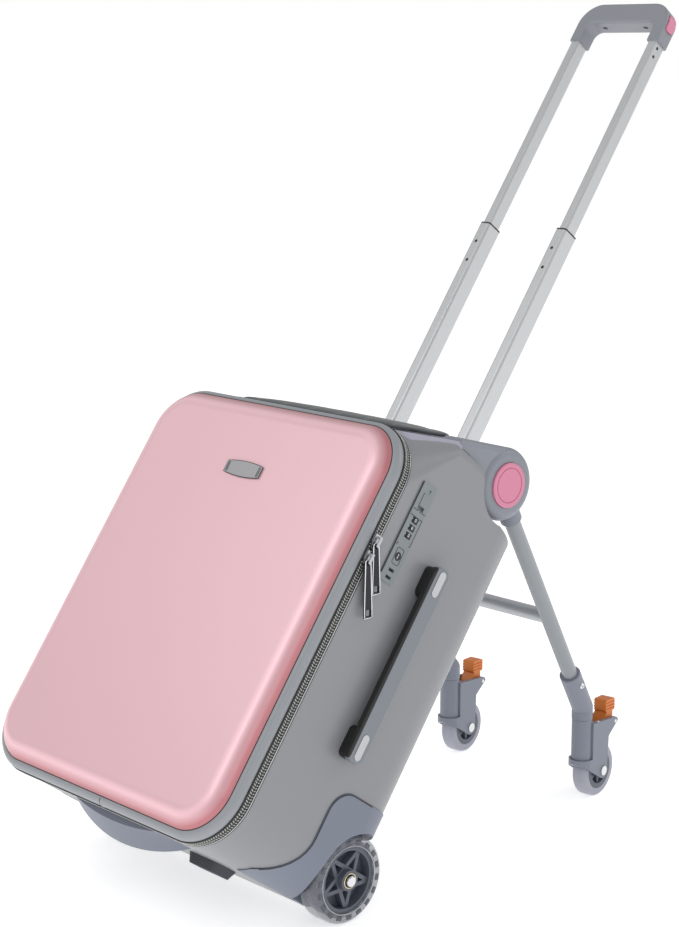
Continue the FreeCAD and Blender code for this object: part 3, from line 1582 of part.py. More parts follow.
# The origin is under the middle of the whole object, on the floor.
whole = FreeCAD.BoundBox()
for shape in pieces.values():
    whole.add(shape.optimalBoundingBox(False, False))
ride_shift = V(-(whole.XMin + whole.XMax) / 2, -(whole.YMin + whole.YMax) / 2, -whole.ZMin)

os.makedirs("parts", exist_ok=True)
for name, shape in pieces.items():
    shape.translate(ride_shift)
    shape.exportStep("parts/" + name + ".step")
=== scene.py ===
import json
import math
from functools import partial
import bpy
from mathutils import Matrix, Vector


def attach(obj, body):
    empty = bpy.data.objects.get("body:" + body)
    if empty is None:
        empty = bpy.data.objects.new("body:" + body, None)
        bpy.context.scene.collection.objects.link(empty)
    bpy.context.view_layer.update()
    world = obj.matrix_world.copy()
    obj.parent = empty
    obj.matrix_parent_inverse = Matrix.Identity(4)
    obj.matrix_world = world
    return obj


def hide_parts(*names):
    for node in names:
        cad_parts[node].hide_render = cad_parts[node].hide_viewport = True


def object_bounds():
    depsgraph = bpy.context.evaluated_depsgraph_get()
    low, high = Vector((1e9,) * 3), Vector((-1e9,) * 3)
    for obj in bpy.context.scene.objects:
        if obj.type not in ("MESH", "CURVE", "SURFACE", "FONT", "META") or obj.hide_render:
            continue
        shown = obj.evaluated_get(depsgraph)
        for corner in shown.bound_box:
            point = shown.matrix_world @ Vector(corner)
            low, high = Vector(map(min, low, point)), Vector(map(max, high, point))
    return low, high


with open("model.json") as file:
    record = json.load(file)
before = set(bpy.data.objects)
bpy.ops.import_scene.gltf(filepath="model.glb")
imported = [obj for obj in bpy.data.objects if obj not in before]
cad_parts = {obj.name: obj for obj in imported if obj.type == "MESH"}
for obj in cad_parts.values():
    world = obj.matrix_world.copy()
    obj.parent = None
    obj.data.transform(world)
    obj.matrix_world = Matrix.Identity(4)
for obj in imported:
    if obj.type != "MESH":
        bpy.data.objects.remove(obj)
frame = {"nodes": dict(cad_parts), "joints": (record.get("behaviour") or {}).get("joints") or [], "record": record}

from types import SimpleNamespace

import bmesh
import bpy
from bpy.props import FloatProperty, FloatVectorProperty, IntProperty, PointerProperty
from mathutils import Matrix, Vector
from mathutils.geometry import convex_hull_2d

bl_info = {
    "name": "Ride-on suitcase",
    "version": (1, 0, 0),
    "blender": (4, 5, 0),
    "location": "3D View > Sidebar > Suitcase",
    "description": "Dresses the packed ride-on suitcase with finishes, trim and a soft seat",
    "category": "Object",
}

# The case frame: x across the case, y from the lid to the back, z up along the case.
cad_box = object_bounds()
nodes = frame["nodes"]
joints = {joint["name"]: joint for joint in frame["joints"]}
right = Vector((1.0, 0.0, 0.0))
case_up = -Vector(joints["lid_hinge"]["axis"]).normalized()
case_back = case_up.cross(right)
case_tilt = math.atan2(case_up.y, case_up.z)
case_turn = Matrix((right, case_back, case_up)).transposed()
pivot_in_case = Vector((0.0, 0.159, 0.457))
case_origin = Vector(joints["leg_frame_fold"]["pos_m"]) - case_turn @ pivot_in_case
case = Matrix.Translation(case_origin) @ case_turn.to_4x4()
mm = 0.001
sides = {"left": -1, "right": 1}

# Where the lines that find a surface start, in millimetres: in front of the case, under it,
# beside it and over the casters.
ahead, below, beside, above_casters = -60.0, -60.0, 260.0, 200.0


def at(x, y, z):
    """A place given in millimetres of the case frame, in the model's frame."""
    return case @ Vector((x * mm, y * mm, z * mm))


def case_box(node, turned=case):
    """Lowest and highest corner of a CAD node in the case frame or another, in millimetres."""
    inside = turned.inverted()
    places = [inside @ vertex.co / mm for vertex in nodes[node].data.vertices]
    low = Vector([min(place[i] for place in places) for i in range(3)])
    high = Vector([max(place[i] for place in places) for i in range(3)])
    return low, high


def border(node, turned, first, second):
    """Places round a CAD node as two axes of a frame show it, in that frame."""
    inside = turned.inverted()
    spread = [inside @ vertex.co for vertex in nodes[node].data.vertices]
    return [spread[i] for i in convex_hull_2d([(place[first], place[second]) for place in spread])]


def touch(node, start, heading):
    """Where a straight line first meets a CAD node, and the way its surface faces there."""
    found, place, facing, _ = nodes[node].ray_cast(start, heading)
    if not found:
        raise RuntimeError(f"nothing of {node} lies that way")
    return place, facing


def shade(red, green, blue):
    """A screen colour of 0 to 255, in linear light."""
    parts = [value / 255 for value in (red, green, blue)]
    return tuple(v / 12.92 if v <= 0.04045 else ((v + 0.055) / 1.055) ** 2.4 for v in parts)


def colour(name, description, *screen):
    """A property that holds a screen colour."""
    return FloatVectorProperty(
        name=name, description=description, default=shade(*screen), size=3, min=0, max=1,
        subtype="COLOR")


def length(name, description, value):
    """A property that holds a length, given in millimetres."""
    return FloatProperty(
        name=name, description=description, default=value * mm, min=0, precision=5,
        unit="LENGTH")


def degrees(name, description, value):
    """A property that holds an angle, given in degrees."""
    return FloatProperty(
        name=name, description=description, default=math.radians(value), subtype="ANGLE")


def strength(name, description, value):
    """A property that holds a power or a pressure."""
    return FloatProperty(name=name, description=description, default=value, min=0)


def whole(name, description, value):
    """A property that holds a whole number."""
    return IntProperty(name=name, description=description, default=value, min=1)


def millimetres(group):
    """The values of a property group that holds lengths alone, in millimetres."""
    return SimpleNamespace(**{
        name: getattr(group, name) / mm for name in type(group).__annotations__})


class SuitcaseColours(bpy.types.PropertyGroup):
    """Colours of the suitcase's finishes."""

    pink_lid: colour("Lid pink", "Satin paint of the lid panel", 227, 184, 192)
    # Rose is painted shade: the darker tone given to the lid panel's rolled edge towards the frame.
    rose: colour("Rose", "Deeper paint on the rolled edge of the lid panel", 190, 118, 124)
    grey_frame: colour("Lid frame grey", "Moulded frame round the lid panel", 146, 150, 155)
    bar_grey: colour("Handle grey", "Outside of the side handle", 122, 127, 135)
    grey_body: colour("Body grey", "Satin shell of the case", 138, 139, 143)
    blue_grey: colour("Blue grey", "Sockets and forks", 126, 131, 144)
    guard: colour("Guard", "Wheel housings and bottom grip", 118, 124, 139)
    housing: colour("Pivot housing", "Barrel, arms and trolley block", 136, 140, 149)
    grip_grey: colour("Grip grey", "Trolley grip", 138, 141, 148)
    pale_strip: colour("Seat base", "Lavender strip under the seat", 172, 174, 190)
    pink_trim: colour("Trim pink", "Pivot caps and grip button", 214, 132, 160)
    cushion: colour("Cushion", "Dark seat cover", 84, 88, 90)
    tube: colour("Trolley tube", "Satin aluminium", 204, 206, 208)
    steel: colour("Steel", "Pins and brackets", 150, 152, 155)
    leg_paint: colour("Leg paint", "Light grey leg tubes", 142, 147, 152)
    cross_bar: colour("Cross-bar", "Bar between the legs", 188, 191, 196)
    chrome: colour("Chrome", "Bright small metal", 226, 226, 228)
    zipper: colour("Zipper coil", "Teeth of the zipper", 176, 176, 172)
    tape: colour("Zipper tape", "Dark weave under the teeth", 58, 58, 60)
    gunmetal: colour("Gunmetal", "Zipper pulls and wheel bearings", 56, 56, 60)
    black: colour("Black", "Dark mouldings and gaps", 26, 26, 28)
    lock_grey: colour("Lock grey", "Face of the lock", 128, 135, 138)
    badge: colour("Badge", "Blank badge on the lid", 158, 158, 160)
    silver: colour("Silver", "Inlays of the side handle", 182, 184, 187)
    rubber: colour("Rubber", "Feet under the case", 66, 68, 74)
    clear_tread: colour("Clear tread", "See-through tyres", 132, 136, 145)
    tyre_lug: colour("Tyre lugs", "Dark lugs cast into the main tyres", 84, 88, 98)
    brass: colour("Brass", "Rings round the axle bolts", 206, 196, 166)
    tread_grey: colour("Caster tread", "Cast grey caster tyres", 158, 160, 172)
    core_grey: colour("Wheel core", "Moulded wheel cores", 88, 93, 104)
    orange: colour("Brake orange", "Brake levers", 214, 118, 40)
    lining: colour("Lining", "Woven lining board", 112, 112, 118)
    dial: colour("Dial", "Lock dials", 22, 22, 24)
    digit_white: colour("Digits", "Numbers on the dials", 236, 236, 234)


class SuitcaseZipper(bpy.types.PropertyGroup):
    """Sizes of the zipper."""

    proud: length("Proud", "How far the teeth stand out of the frame's outline", 0.6)
    corner: length("Corner", "Corner radius of the ring", 56.0)
    pitch: length("Pitch", "Distance from tooth to tooth", 2.8)
    tooth_width: length("Tooth width", "Width of one tooth along the ring", 1.6)
    tooth_end: length("Tooth end", "Length of a tooth's narrowed end", 0.4)
    lid_front: length("Lid row front", "Front of the lid's row of teeth", 11.6)
    lid_back: length("Lid row back", "Back of the lid's row of teeth", 15.1)
    body_front: length("Body row front", "Front of the body's row of teeth", 15.9)
    body_back: length("Body row back", "Back of the body's row of teeth", 18.2)
    slant: degrees("Slant", "Lean of the teeth", 24)
    pull_edge: length("Pull edge", "Radius of the bright edge round a pull", 0.6)
    pull_sink: length("Pull sink", "How far that edge lies under the pull's face", 0.2)


class SuitcaseLid(bpy.types.PropertyGroup):
    """Sizes of the lid's trim."""

    joint_corner: length("Joint corner", "Corner radius of the joint round the panel", 48.0)
    joint_depth: length("Joint depth", "Depth of that joint in the case frame", 0.2)
    joint_radius: length("Joint radius", "Radius of that joint's bead", 0.7)
    bar_inner: length("Inner bar", "Inner bar from the middle of the badge", 22.6)
    bar_outer: length("Outer bar", "Outer bar from the middle of the badge", 24.6)
    bar_width: length("Bar width", "Width of a bar on the badge", 1.0)
    bar_height: length("Bar height", "Height of a bar on the badge", 10.8)
    bar_proud: length("Bar proud", "How far a bar stands out of the badge", 0.15)
    bar_sink: length("Bar sink", "How far a bar goes into the badge", 0.6)
    rim_radius: length("Rim radius", "Radius of the badge's rim", 0.45)
    rim_sink: length("Rim sink", "Middle of the rim behind the badge's front", 0.3)
    seam: length("Seam", "Seam of the frame from the middle of the lid", 14.0)
    seam_radius: length("Seam radius", "Radius of the dark and the bright line of the seam", 0.5)


class SuitcaseLock(bpy.types.PropertyGroup):
    """Sizes of the marks on the lock."""

    line: length("Line", "Width of a mark on the lock's face", 0.7)
    front_line: length("Front line", "Width of the dark line along the lock's front edge", 1.3)
    front_margin: length("Front margin", "Marks from the front edge of the face", 2.5)
    back_margin: length("Back margin", "Marks from the back edge of the face", 1.2)
    mark_proud: length("Mark proud", "How far a mark stands out of the face", 0.12)
    mark_sink: length("Mark sink", "How far a mark goes into the face", 0.3)
    plate_width: length("Plate width", "Width of the key plate", 10.0)
    plate_height: length("Plate height", "Height of the key plate", 16.8)
    plate_corner: length("Plate corner", "Corner radius of the key plate", 2.2)
    plate_line: length("Plate line", "Radius of the line round the key plate", 0.3)
    slit_width: length("Slit width", "Width of the key slit", 1.0)
    slit_sink: length("Slit sink", "How far the key slit goes into its cylinder", 0.1)
    digit: length("Digit", "Height of a number on a dial", 4.8)
    digit_depth: length("Digit depth", "Half thickness of a number on a dial", 0.04)


class SuitcaseFasteners(bpy.types.PropertyGroup):
    """Sizes of the small fasteners, the leg collars and the grip's holes."""

    screw_radius: length("Screw radius", "Head of a chrome socket screw", 3.4)
    rivet_radius: length("Rivet radius", "Head of a dark tube rivet", 2.0)
    stud_radius: length("Stud radius", "Bright stud on a fork", 1.9)
    upper_drop: length("Upper rivet drop", "First rivet below the top of a middle tube", 24.0)
    lower_drop: length("Lower rivet drop", "Second rivet below the top of a middle tube", 49.0)
    rivet_inset: length("Rivet inset", "Those rivets from the outer side of the tube", 7.2)
    upper_grip_drop: length("Upper grip drop", "First rivet of an inner tube under the grip", 6.5)
    lower_grip_drop: length("Lower grip drop", "Second rivet of an inner tube under the grip", 17.5)
    rivet_lead: length("Rivet lead", "Those rivets in front of the middle of the tube", 2.0)
    stud_out: length("Stud out", "Stud on a fork outwards from the stem", 11.6)
    stud_back: length("Stud back", "Stud on a fork backwards from the stem", 15.5)
    collar_start: length("Collar start", "Foot of a leg's collar above the tube's lower end", 28.0)
    collar_length: length("Collar length", "Length of a leg's collar", 18.0)
    collar_radius: length("Collar radius", "Radius of a leg's collar", 12.0)
    collar_chamfer: length("Collar chamfer", "Chamfer at the top of a leg's collar", 1.0)
    hole_offset: length("Grip hole", "Finger hole from the middle of the grip", 30.0)
    hole_radius: length("Hole radius", "Half length of a finger hole", 3.6)
    hole_rim: length("Hole rim", "Width of a finger hole's sloping rim", 1.0)


class SuitcaseWheels(bpy.types.PropertyGroup):
    """Sizes of the marks on the main wheels and of the joints round their housings."""

    lug_count: whole("Lugs", "Lugs that fit round a tyre", 18)
    lug_circle: length("Lug circle", "Radius of the circle of lugs", 38.4)
    lug_length: length("Lug length", "Length of a lug round the tyre", 6.8)
    lug_end: length("Lug end", "Length of a lug's narrowed end", 0.6)
    lug_radius: length("Lug radius", "Half width of a lug", 2.4)
    lug_tip: length("Lug tip", "Half width of a lug's narrowed end", 2.0)
    core_circle: length("Core circle", "Radius of the bright circle round a wheel core", 34.6)
    core_line: length("Core line", "Radius of that circle's bead", 0.45)
    ring_circle: length("Ring circle", "Radius of the brass ring round an axle bolt", 7.4)
    ring_line: length("Ring line", "Radius of that ring's bead", 0.8)
    joint_line: length("Joint line", "Radius of the dark joint round a housing", 0.6)


class SuitcaseSeat(bpy.types.PropertyGroup):
    """Sizes of the seat cushion."""

    slope: degrees("Slope", "Rise of the seat towards the back", 22)
    voxel: length("Skin grid", "Grid of the cushion's skin", 4.0)
    inset: length("Inset", "How much smaller the pad starts all round", 2.5)
    corner: length("Corner", "Corner radius seen from above", 15.0)
    most_swell: length("Most swell", "Most that the filling may move the skin", 5.0)
    pressure: strength("Pressure", "Pressure of the filling", 4.0)
    channel_count: whole("Channels", "Sewn channels from front to back", 6)
    channel_depth: length("Channel depth", "Depth of a sewn channel", 0.9)
    channel_width: length("Channel width", "Half width of a sewn channel", 5.0)


class SuitcaseStage(bpy.types.PropertyGroup):
    """The floor, the light and the camera."""

    floor: colour("Floor", "Pale studio floor", 250, 250, 250)
    floor_half: length("Floor reach", "Half width of the floor", 15000)
    floor_glow: strength("Floor glow", "Light that the floor gives back by itself", 0.52)
    lens: FloatProperty(
        name="Lens", description="Focal length of the camera in millimetres", default=80.44,
        unit="CAMERA")
    sky: strength("Sky", "Strength of the white surround", 0.58)
    key: strength("Key light", "Power of the key light", 10.0)
    fill: strength("Fill light", "Power of the fill light", 7.0)
    rim: strength("Rim light", "Power of the rim light", 8.0)
    strip: strength("Strip light", "Power of the upright strip", 6.0)


class Flow:
    """A number that runs through a finish's nodes, for use in plain arithmetic."""

    def __init__(self, finish, socket):
        self.finish, self.socket = finish, socket

    def join(self, operation, first, second):
        return self.finish.node("ShaderNodeMath", {"operation": operation}, {0: first, 1: second})

    def __add__(self, other):
        return self.join("ADD", self, other)

    def __sub__(self, other):
        return self.join("SUBTRACT", self, other)

    def __rsub__(self, other):
        return self.join("SUBTRACT", other, self)

    def __mul__(self, other):
        return self.join("MULTIPLY", self, other)

    def __lt__(self, other):
        return self.join("LESS_THAN", self, other)

    __radd__ = __add__
    __rmul__ = __mul__


def add_node(tree, kind, settings=(), sockets=()):
    """A new node of a tree, with its settings made first and its sockets then set or linked."""
    made = tree.nodes.new(kind)
    for key, value in dict(settings).items():
        setattr(made, key, value)
    for key, value in dict(sockets).items():
        source = value.socket if isinstance(value, Flow) else value
        if isinstance(source, bpy.types.NodeSocket):
            tree.links.new(source, made.inputs[key])
        else:
            made.inputs[key].default_value = source
    return made


def tinted(tone, factor):
    """A tone made darker or paler, with full cover."""
    return (*[min(1.0, part * factor) for part in tone], 1.0)


class Finish:
    """One procedural finish and the nodes that make it."""

    def __init__(self, name, constants=()):
        self.material = bpy.data.materials.new(name)
        self.material.use_nodes = True
        self.tree = self.material.node_tree
        self.shader = self.tree.nodes["Principled BSDF"]
        for socket, value in dict(constants).items():
            self.shader.inputs[socket].default_value = value

    def node(self, kind, settings=(), sockets=(), output=0):
        """What comes out of a new node."""
        return Flow(self, add_node(self.tree, kind, settings, sockets).outputs[output])

    def feed(self, socket, flow):
        self.tree.links.new(flow.socket, self.shader.inputs[socket])

    def places(self, stretch=(1.0, 1.0, 1.0)):
        """Places of the surface in the case frame, stretched along its axes."""
        here = self.node("ShaderNodeTexCoord", output=3)
        turned = self.node("ShaderNodeMapping", {"vector_type": "TEXTURE"}, {
            "Vector": here, "Location": case_origin, "Rotation": (-case_tilt, 0.0, 0.0)})
        return self.node("ShaderNodeVectorMath", {"operation": "MULTIPLY"}, {
            0: turned, 1: stretch})

    def axis(self, letter):
        return self.node("ShaderNodeSeparateXYZ", {}, {0: self.places()}, "XYZ".index(letter))

    def noise(self, scale, detail=2.0, stretch=(1.0, 1.0, 1.0)):
        return self.node("ShaderNodeTexNoise", {}, {
            "Vector": self.places(stretch), "Scale": scale, "Detail": detail})

    def cells(self, scale):
        return self.node("ShaderNodeTexVoronoi", {}, {
            "Vector": self.places(), "Scale": scale})

    def bands(self, scale, direction):
        return self.node("ShaderNodeTexWave", {"bands_direction": direction}, {
            "Vector": self.places(), "Scale": scale})

    def rise(self, flow, low, high):
        """From 0 to 1 between two depths in millimetres."""
        return self.node("ShaderNodeMapRange", {}, {0: flow, 1: low * mm, 2: high * mm})

    def blend(self, mask, first, second):
        return self.node("ShaderNodeMix", {"data_type": "RGBA"}, {
            0: mask, 6: first, 7: second}, 2)

    def tints(self, mask, tone, dark, pale):
        """From a darker to a paler tint of one tone."""
        return self.blend(mask, tinted(tone, dark), tinted(tone, pale))

    def emboss(self, height, relief, depth):
        """Bump of a depth in millimetres on the whole surface."""
        self.feed("Normal", self.node("ShaderNodeBump", {}, {
            "Strength": relief, "Distance": depth * mm, "Height": height}))


def moulded(name, tone, rough=0.42, grain=900.0, relief=0.12, coat=0.0, front=None):
    """Moulded plastic, clouded and grained, with another tone in front of a depth if given."""
    finish = Finish(name, {"Coat Weight": coat, "Coat Roughness": 0.25})
    cloud, fine = finish.noise(scale=7.0, detail=3.0), finish.noise(scale=grain)
    shaded = finish.tints(cloud, tone, dark=0.94, pale=1.05)
    if front:
        front_tone, depth = front
        nearer = finish.tints(cloud, front_tone, dark=0.92, pale=1.06)
        shaded = finish.blend(finish.axis("Y") < depth, shaded, nearer)
    finish.feed("Base Color", shaded)
    finish.feed("Roughness", rough + 0.10 * (cloud - 0.5) + 0.08 * (fine - 0.5))
    finish.emboss(fine, relief, depth=0.15)
    return finish


def satin_lid(name, tone, edge_tone):
    """Pink satin paint with a fine flake, with a painted highlight on the roll's crest and painted shade deepening
    towards the frame.
    """
    finish = Finish(name, {"Coat Weight": 0.35, "Coat Roughness": 0.22})
    cloud, flake = finish.noise(scale=4.0), finish.cells(scale=2600.0)
    depth = finish.axis("Y")
    # Depths in millimetres of the painted highlight along the roll's crest.
    crest_start, crest_full, crest_fades, crest_end = -12.95, -12.2, -11.5, -8.5
    # Depths in millimetres where the painted shade on the roll starts and where it is full.
    rose_shade_start, rose_shade_full = -11.0, -4.0
    crest = finish.rise(depth, crest_start, crest_full) * (
        1.0 - finish.rise(depth, crest_fades, crest_end))
    flat = finish.tints(cloud * 0.6 + flake * 0.5, tone, dark=0.97, pale=1.05)
    # Painted highlight: the flat paint is made paler along the roll's crest.
    crest_highlighted = finish.blend(crest * 0.8, flat, tinted(tone, 1.25))
    # Painted shade: the roll turns to the darker rose tone towards the frame.
    finish.feed("Base Color", finish.blend(
        finish.rise(depth, rose_shade_start, rose_shade_full), crest_highlighted, (*edge_tone, 1.0)))
    finish.feed("Metallic", 0.22 + 0.12 * (flake - 0.4))
    finish.feed("Roughness", 0.36 + 0.08 * (cloud - 0.5))
    finish.emboss(flake, relief=0.05, depth=0.05)
    return finish


lines_up, lines_across = (1.0, 1.0, 0.02), (0.02, 1.0, 1.0)


def brushed(name, tone, rough=0.34, metallic=0.85, stretch=lines_up):
    """Drawn metal whose fine lines run along the piece."""
    finish = Finish(name)
    cloud, lines = finish.noise(scale=9.0), finish.noise(1500.0, detail=3.0, stretch=stretch)
    finish.feed("Base Color", finish.tints(lines, tone, dark=0.93, pale=1.05))
    finish.feed("Metallic", metallic + 0.06 * (cloud - 0.5))
    finish.feed("Roughness", rough + 0.12 * (lines - 0.5) + 0.06 * (cloud - 0.5))
    finish.emboss(lines, relief=0.08, depth=0.05)
    return finish


def polished(name, tone, rough=0.12):
    """Bright plated metal with faint smears."""
    finish = Finish(name)
    smear = finish.noise(scale=140.0, detail=4.0)
    finish.feed("Base Color", finish.tints(smear, tone, dark=0.92, pale=1.02))
    finish.feed("Metallic", 0.96 + 0.04 * smear)
    finish.feed("Roughness", rough + 0.10 * (smear - 0.4))
    return finish


def see_through(name, tone):
    """Clear cast tyre with faint flow marks and a scuffed skin."""
    finish = Finish(name, {"Coat Weight": 0.6, "Coat Roughness": 0.08})
    flow, scuff = finish.noise(scale=45.0, detail=3.0), finish.noise(scale=600.0, detail=3.0)
    finish.feed("Base Color", finish.tints(flow, tone, dark=0.9, pale=1.08))
    finish.feed("Roughness", 0.14 + 0.12 * scuff)
    finish.feed("Alpha", 0.44 + 0.14 * flow)
    finish.emboss(scuff, relief=0.05, depth=0.1)
    return finish


def leatherette(name, tone):
    """Soft coated cover with a pebbled grain."""
    finish = Finish(name, {"Sheen Weight": 0.15, "Sheen Roughness": 0.5})
    pebble, cloud = finish.cells(scale=520.0), finish.noise(scale=18.0, detail=4.0)
    finish.feed("Base Color", finish.tints(
        cloud * 0.6 + pebble * 0.5, tone, dark=0.82, pale=1.15))
    finish.feed("Roughness", 0.50 + 0.16 * pebble)
    finish.emboss(pebble, relief=0.35, depth=0.3)
    return finish


def woven(name, tone):
    """Plain weave of the lining and the zipper tape."""
    finish = Finish(name, {"Sheen Weight": 0.2})
    threads = finish.bands(420.0, "X") * finish.bands(420.0, "Z")
    cloud = finish.noise(scale=30.0, detail=3.0)
    finish.feed("Base Color", finish.tints(
        threads * 0.7 + cloud * 0.3, tone, dark=0.75, pale=1.15))
    finish.feed("Roughness", 0.75 + 0.15 * threads)
    finish.emboss(threads, relief=0.4, depth=0.2)
    return finish


def rubbery(name, tone):
    """Dull rubber with dust in its grain."""
    finish = Finish(name)
    dust, fine = finish.noise(scale=60.0, detail=4.0), finish.noise(scale=1100.0)
    finish.feed("Base Color", finish.tints(dust, tone, dark=0.85, pale=1.25))
    finish.feed("Roughness", 0.62 + 0.2 * dust)
    finish.emboss(fine, relief=0.2, depth=0.2)
    return finish


made_finishes = {}


def finish_of(slot):
    """The finish of that name, made when it is first asked for."""
    if slot not in made_finishes:
        colours = bpy.context.scene.suitcase_colours
        dark_edge = 2.5
        bar_edge = (case_box("side_handle_bar")[0].y + dark_edge) * mm
        looks = {
            # The lid panel's rolled edge takes painted shade in the rose tone.
            "pink_lid": (satin_lid, dict(edge_tone=tuple(colours.rose))),
            "grey_frame": (moulded, dict(rough=0.40, coat=0.15)),
            "grey_body": (moulded, dict(rough=0.38, coat=0.15)),
            "pink_trim": (moulded, dict(rough=0.38)),
            "bar_grey": (moulded, dict(coat=0.1, front=(tuple(colours.black), bar_edge))),
            "leg_paint": (moulded, dict(rough=0.34, grain=1500.0, relief=0.06, coat=0.2)),
            "black": (moulded, dict(rough=0.45, grain=700.0, relief=0.2)),
            "tube": (brushed, dict(rough=0.3, metallic=0.75)),
            "steel": (brushed, dict(rough=0.3)),
            "cross_bar": (brushed, dict(rough=0.36, metallic=0.6, stretch=lines_across)),
            "badge": (brushed, dict(rough=0.32, metallic=0.8, stretch=lines_across)),
            "chrome": (polished, {}),
            "brass": (polished, {}),
            "gunmetal": (polished, dict(rough=0.16)),
            "zipper": (polished, dict(rough=0.3)),
            "silver": (polished, dict(rough=0.24)),
            "rubber": (rubbery, {}),
            "clear_tread": (see_through, {}),
            "cushion": (leatherette, {}),
            "lining": (woven, {}),
            "tape": (woven, {}),
        }
        maker, settings = looks.get(slot, (moulded, {}))
        made_finishes[slot] = maker(slot, tuple(getattr(colours, slot)), **settings).material
    return made_finishes[slot]


def meshed(data):
    """A plain mesh of a curve, a text or an object with live modifiers."""
    maker = data if isinstance(data, bpy.types.Object) else bpy.data.objects.new("maker", data)
    if not maker.users_collection:
        bpy.context.scene.collection.objects.link(maker)
    bpy.context.view_layer.update()
    graph = bpy.context.evaluated_depsgraph_get()
    mesh = bpy.data.meshes.new_from_object(maker.evaluated_get(graph), depsgraph=graph)
    bpy.data.objects.remove(maker)
    return mesh


def settled(shape, name):
    """The plain mesh of a worked shape, which is freed."""
    mesh = bpy.data.meshes.new(name)
    shape.to_mesh(mesh)
    shape.free()
    return mesh


def add_piece(name, mesh, body, slot, smooth=True, look=None):
    """A finished piece that moves with one body, in its slot's finish or a look of its own."""
    mesh.materials.clear()
    mesh.materials.append(finish_of(look or slot))
    mesh.polygons.foreach_set("use_smooth", [smooth] * len(mesh.polygons))
    piece = bpy.data.objects.new(name, mesh)
    bpy.context.scene.collection.objects.link(piece)
    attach(piece, body)
    return piece


def bead(places, radius, closed=True):
    """A round bead along a line of places."""
    curve = bpy.data.curves.new("bead", "CURVE")
    curve.dimensions, curve.bevel_depth, curve.bevel_resolution = "3D", radius, 2
    curve.use_fill_caps = not closed
    line = curve.splines.new("POLY")
    line.points.add(len(places) - 1)
    for point, place in zip(line.points, places):
        point.co = (*place, 1.0)
    line.use_cyclic_u = closed
    return meshed(curve)


def arc(across, level, radius, turns):
    """Pairs of across and level on an arc about a middle, one for each turn in degrees."""
    angles = [math.radians(turn) for turn in turns]
    return [(across + radius * math.cos(angle), level + radius * math.sin(angle))
            for angle in angles]


def rounded_outline(half, low, high, corner, steps=16):
    """Pairs of across and level round a rounded rectangle."""
    pairs = []
    corners = ((1, high - corner, 0), (-1, high - corner, 90), (-1, low + corner, 180),
               (1, low + corner, 270))
    for side, level, start in corners:
        turns = [start + 90 * step / steps for step in range(steps + 1)]
        pairs += arc(side * (half - corner), level, corner, turns)
    return pairs


def upright_ring(half, low, high, corner, depth):
    """Places round an upright rounded rectangle given in millimetres of the case frame."""
    return [at(x, depth, z) for x, z in rounded_outline(half, low, high, corner)]


def add_box(shape, low, high):
    """A box between two corners, added to a shape."""
    for vert in bmesh.ops.create_cube(shape, size=1.0)["verts"]:
        vert.co = Vector([a + (b - a) * (part + 0.5) for a, b, part in zip(low, high, vert.co)])


def slabs(boxes, edge=0.08):
    """One mesh of small bars, each given by two corners in millimetres of the case frame."""
    shape = bmesh.new()
    for low, high in boxes:
        add_box(shape, low, high)
    bmesh.ops.bevel(shape, geom=shape.edges[:], offset=edge, segments=1, affect="EDGES")
    for vert in shape.verts:
        vert.co = case @ (vert.co * mm)
    return settled(shape, "slabs")


def turned_shape(profile, count=12):
    """A turned shape about z with so many sides, from rings of radius and height in metres."""
    shape = bmesh.new()
    turns = [2 * math.pi * i / count for i in range(count)]
    rings = [[shape.verts.new((radius * math.cos(turn), radius * math.sin(turn), height))
              for turn in turns] for radius, height in profile]
    for low, high in zip(rings, rings[1:]):
        for i in range(count):
            shape.faces.new((low[i], low[i - 1], high[i - 1], high[i]))
    shape.faces.new(rings[0])
    shape.faces.new(rings[-1][::-1])
    bmesh.ops.recalc_face_normals(shape, faces=shape.faces[:])
    return settled(shape, "turned_shape")


def narrowed(reach, end, radius, tip, count):
    """A turned bar about z that reaches as far both ways and narrows at its ends."""
    return turned_shape([
        (tip, -reach), (radius, end - reach), (radius, reach - end), (tip, reach)], count)


def screw_head(radius):
    """A low screw head with a sunk drive."""
    high = 0.45 * radius
    return turned_shape([
        (radius, -high), (radius, 0.35 * high), (0.8 * radius, high), (0.45 * radius, high),
        (0.38 * radius, 0.3 * high)])


def flush_head(radius):
    """A rivet head that hardly stands out of its tube."""
    lip, proud = 0.03 * mm, 0.08 * mm
    return turned_shape([(radius, -0.3 * radius), (radius, lip), (0.8 * radius, proud)])


def rivet_head(radius):
    """A domed rivet head."""
    return turned_shape([
        (radius, -0.3 * radius), (radius, 0.1 * radius), (0.75 * radius, 0.35 * radius),
        (0.3 * radius, 0.45 * radius)], count=10)


def node_tree(name, inputs):
    """A Geometry Nodes tree with named inputs, its input sockets and a short way to add nodes."""
    tree = bpy.data.node_groups.new(name, "GeometryNodeTree")
    for label, kind in inputs:
        tree.interface.new_socket(label, in_out="INPUT", socket_type=kind)
    tree.interface.new_socket("Geometry", in_out="OUTPUT", socket_type="NodeSocketGeometry")
    return tree, tree.nodes.new("NodeGroupInput").outputs, partial(add_node, tree)


def set_down(tree, entry, add, points, rotation):
    """Ends a tree: the shape on every point, made real and given its finish."""
    shape = add("GeometryNodeObjectInfo", {}, {"Object": entry["Shape"]})
    placed = add("GeometryNodeInstanceOnPoints", {}, {
        "Points": points, "Instance": shape.outputs["Geometry"], "Rotation": rotation})
    real = add("GeometryNodeRealizeInstances", {}, {"Geometry": placed.outputs["Instances"]})
    coated = add("GeometryNodeSetMaterial", {}, {
        "Geometry": real.outputs["Geometry"], "Material": entry["Finish"]})
    add("NodeGroupOutput", {}, {"Geometry": coated.outputs["Geometry"]})
    return tree


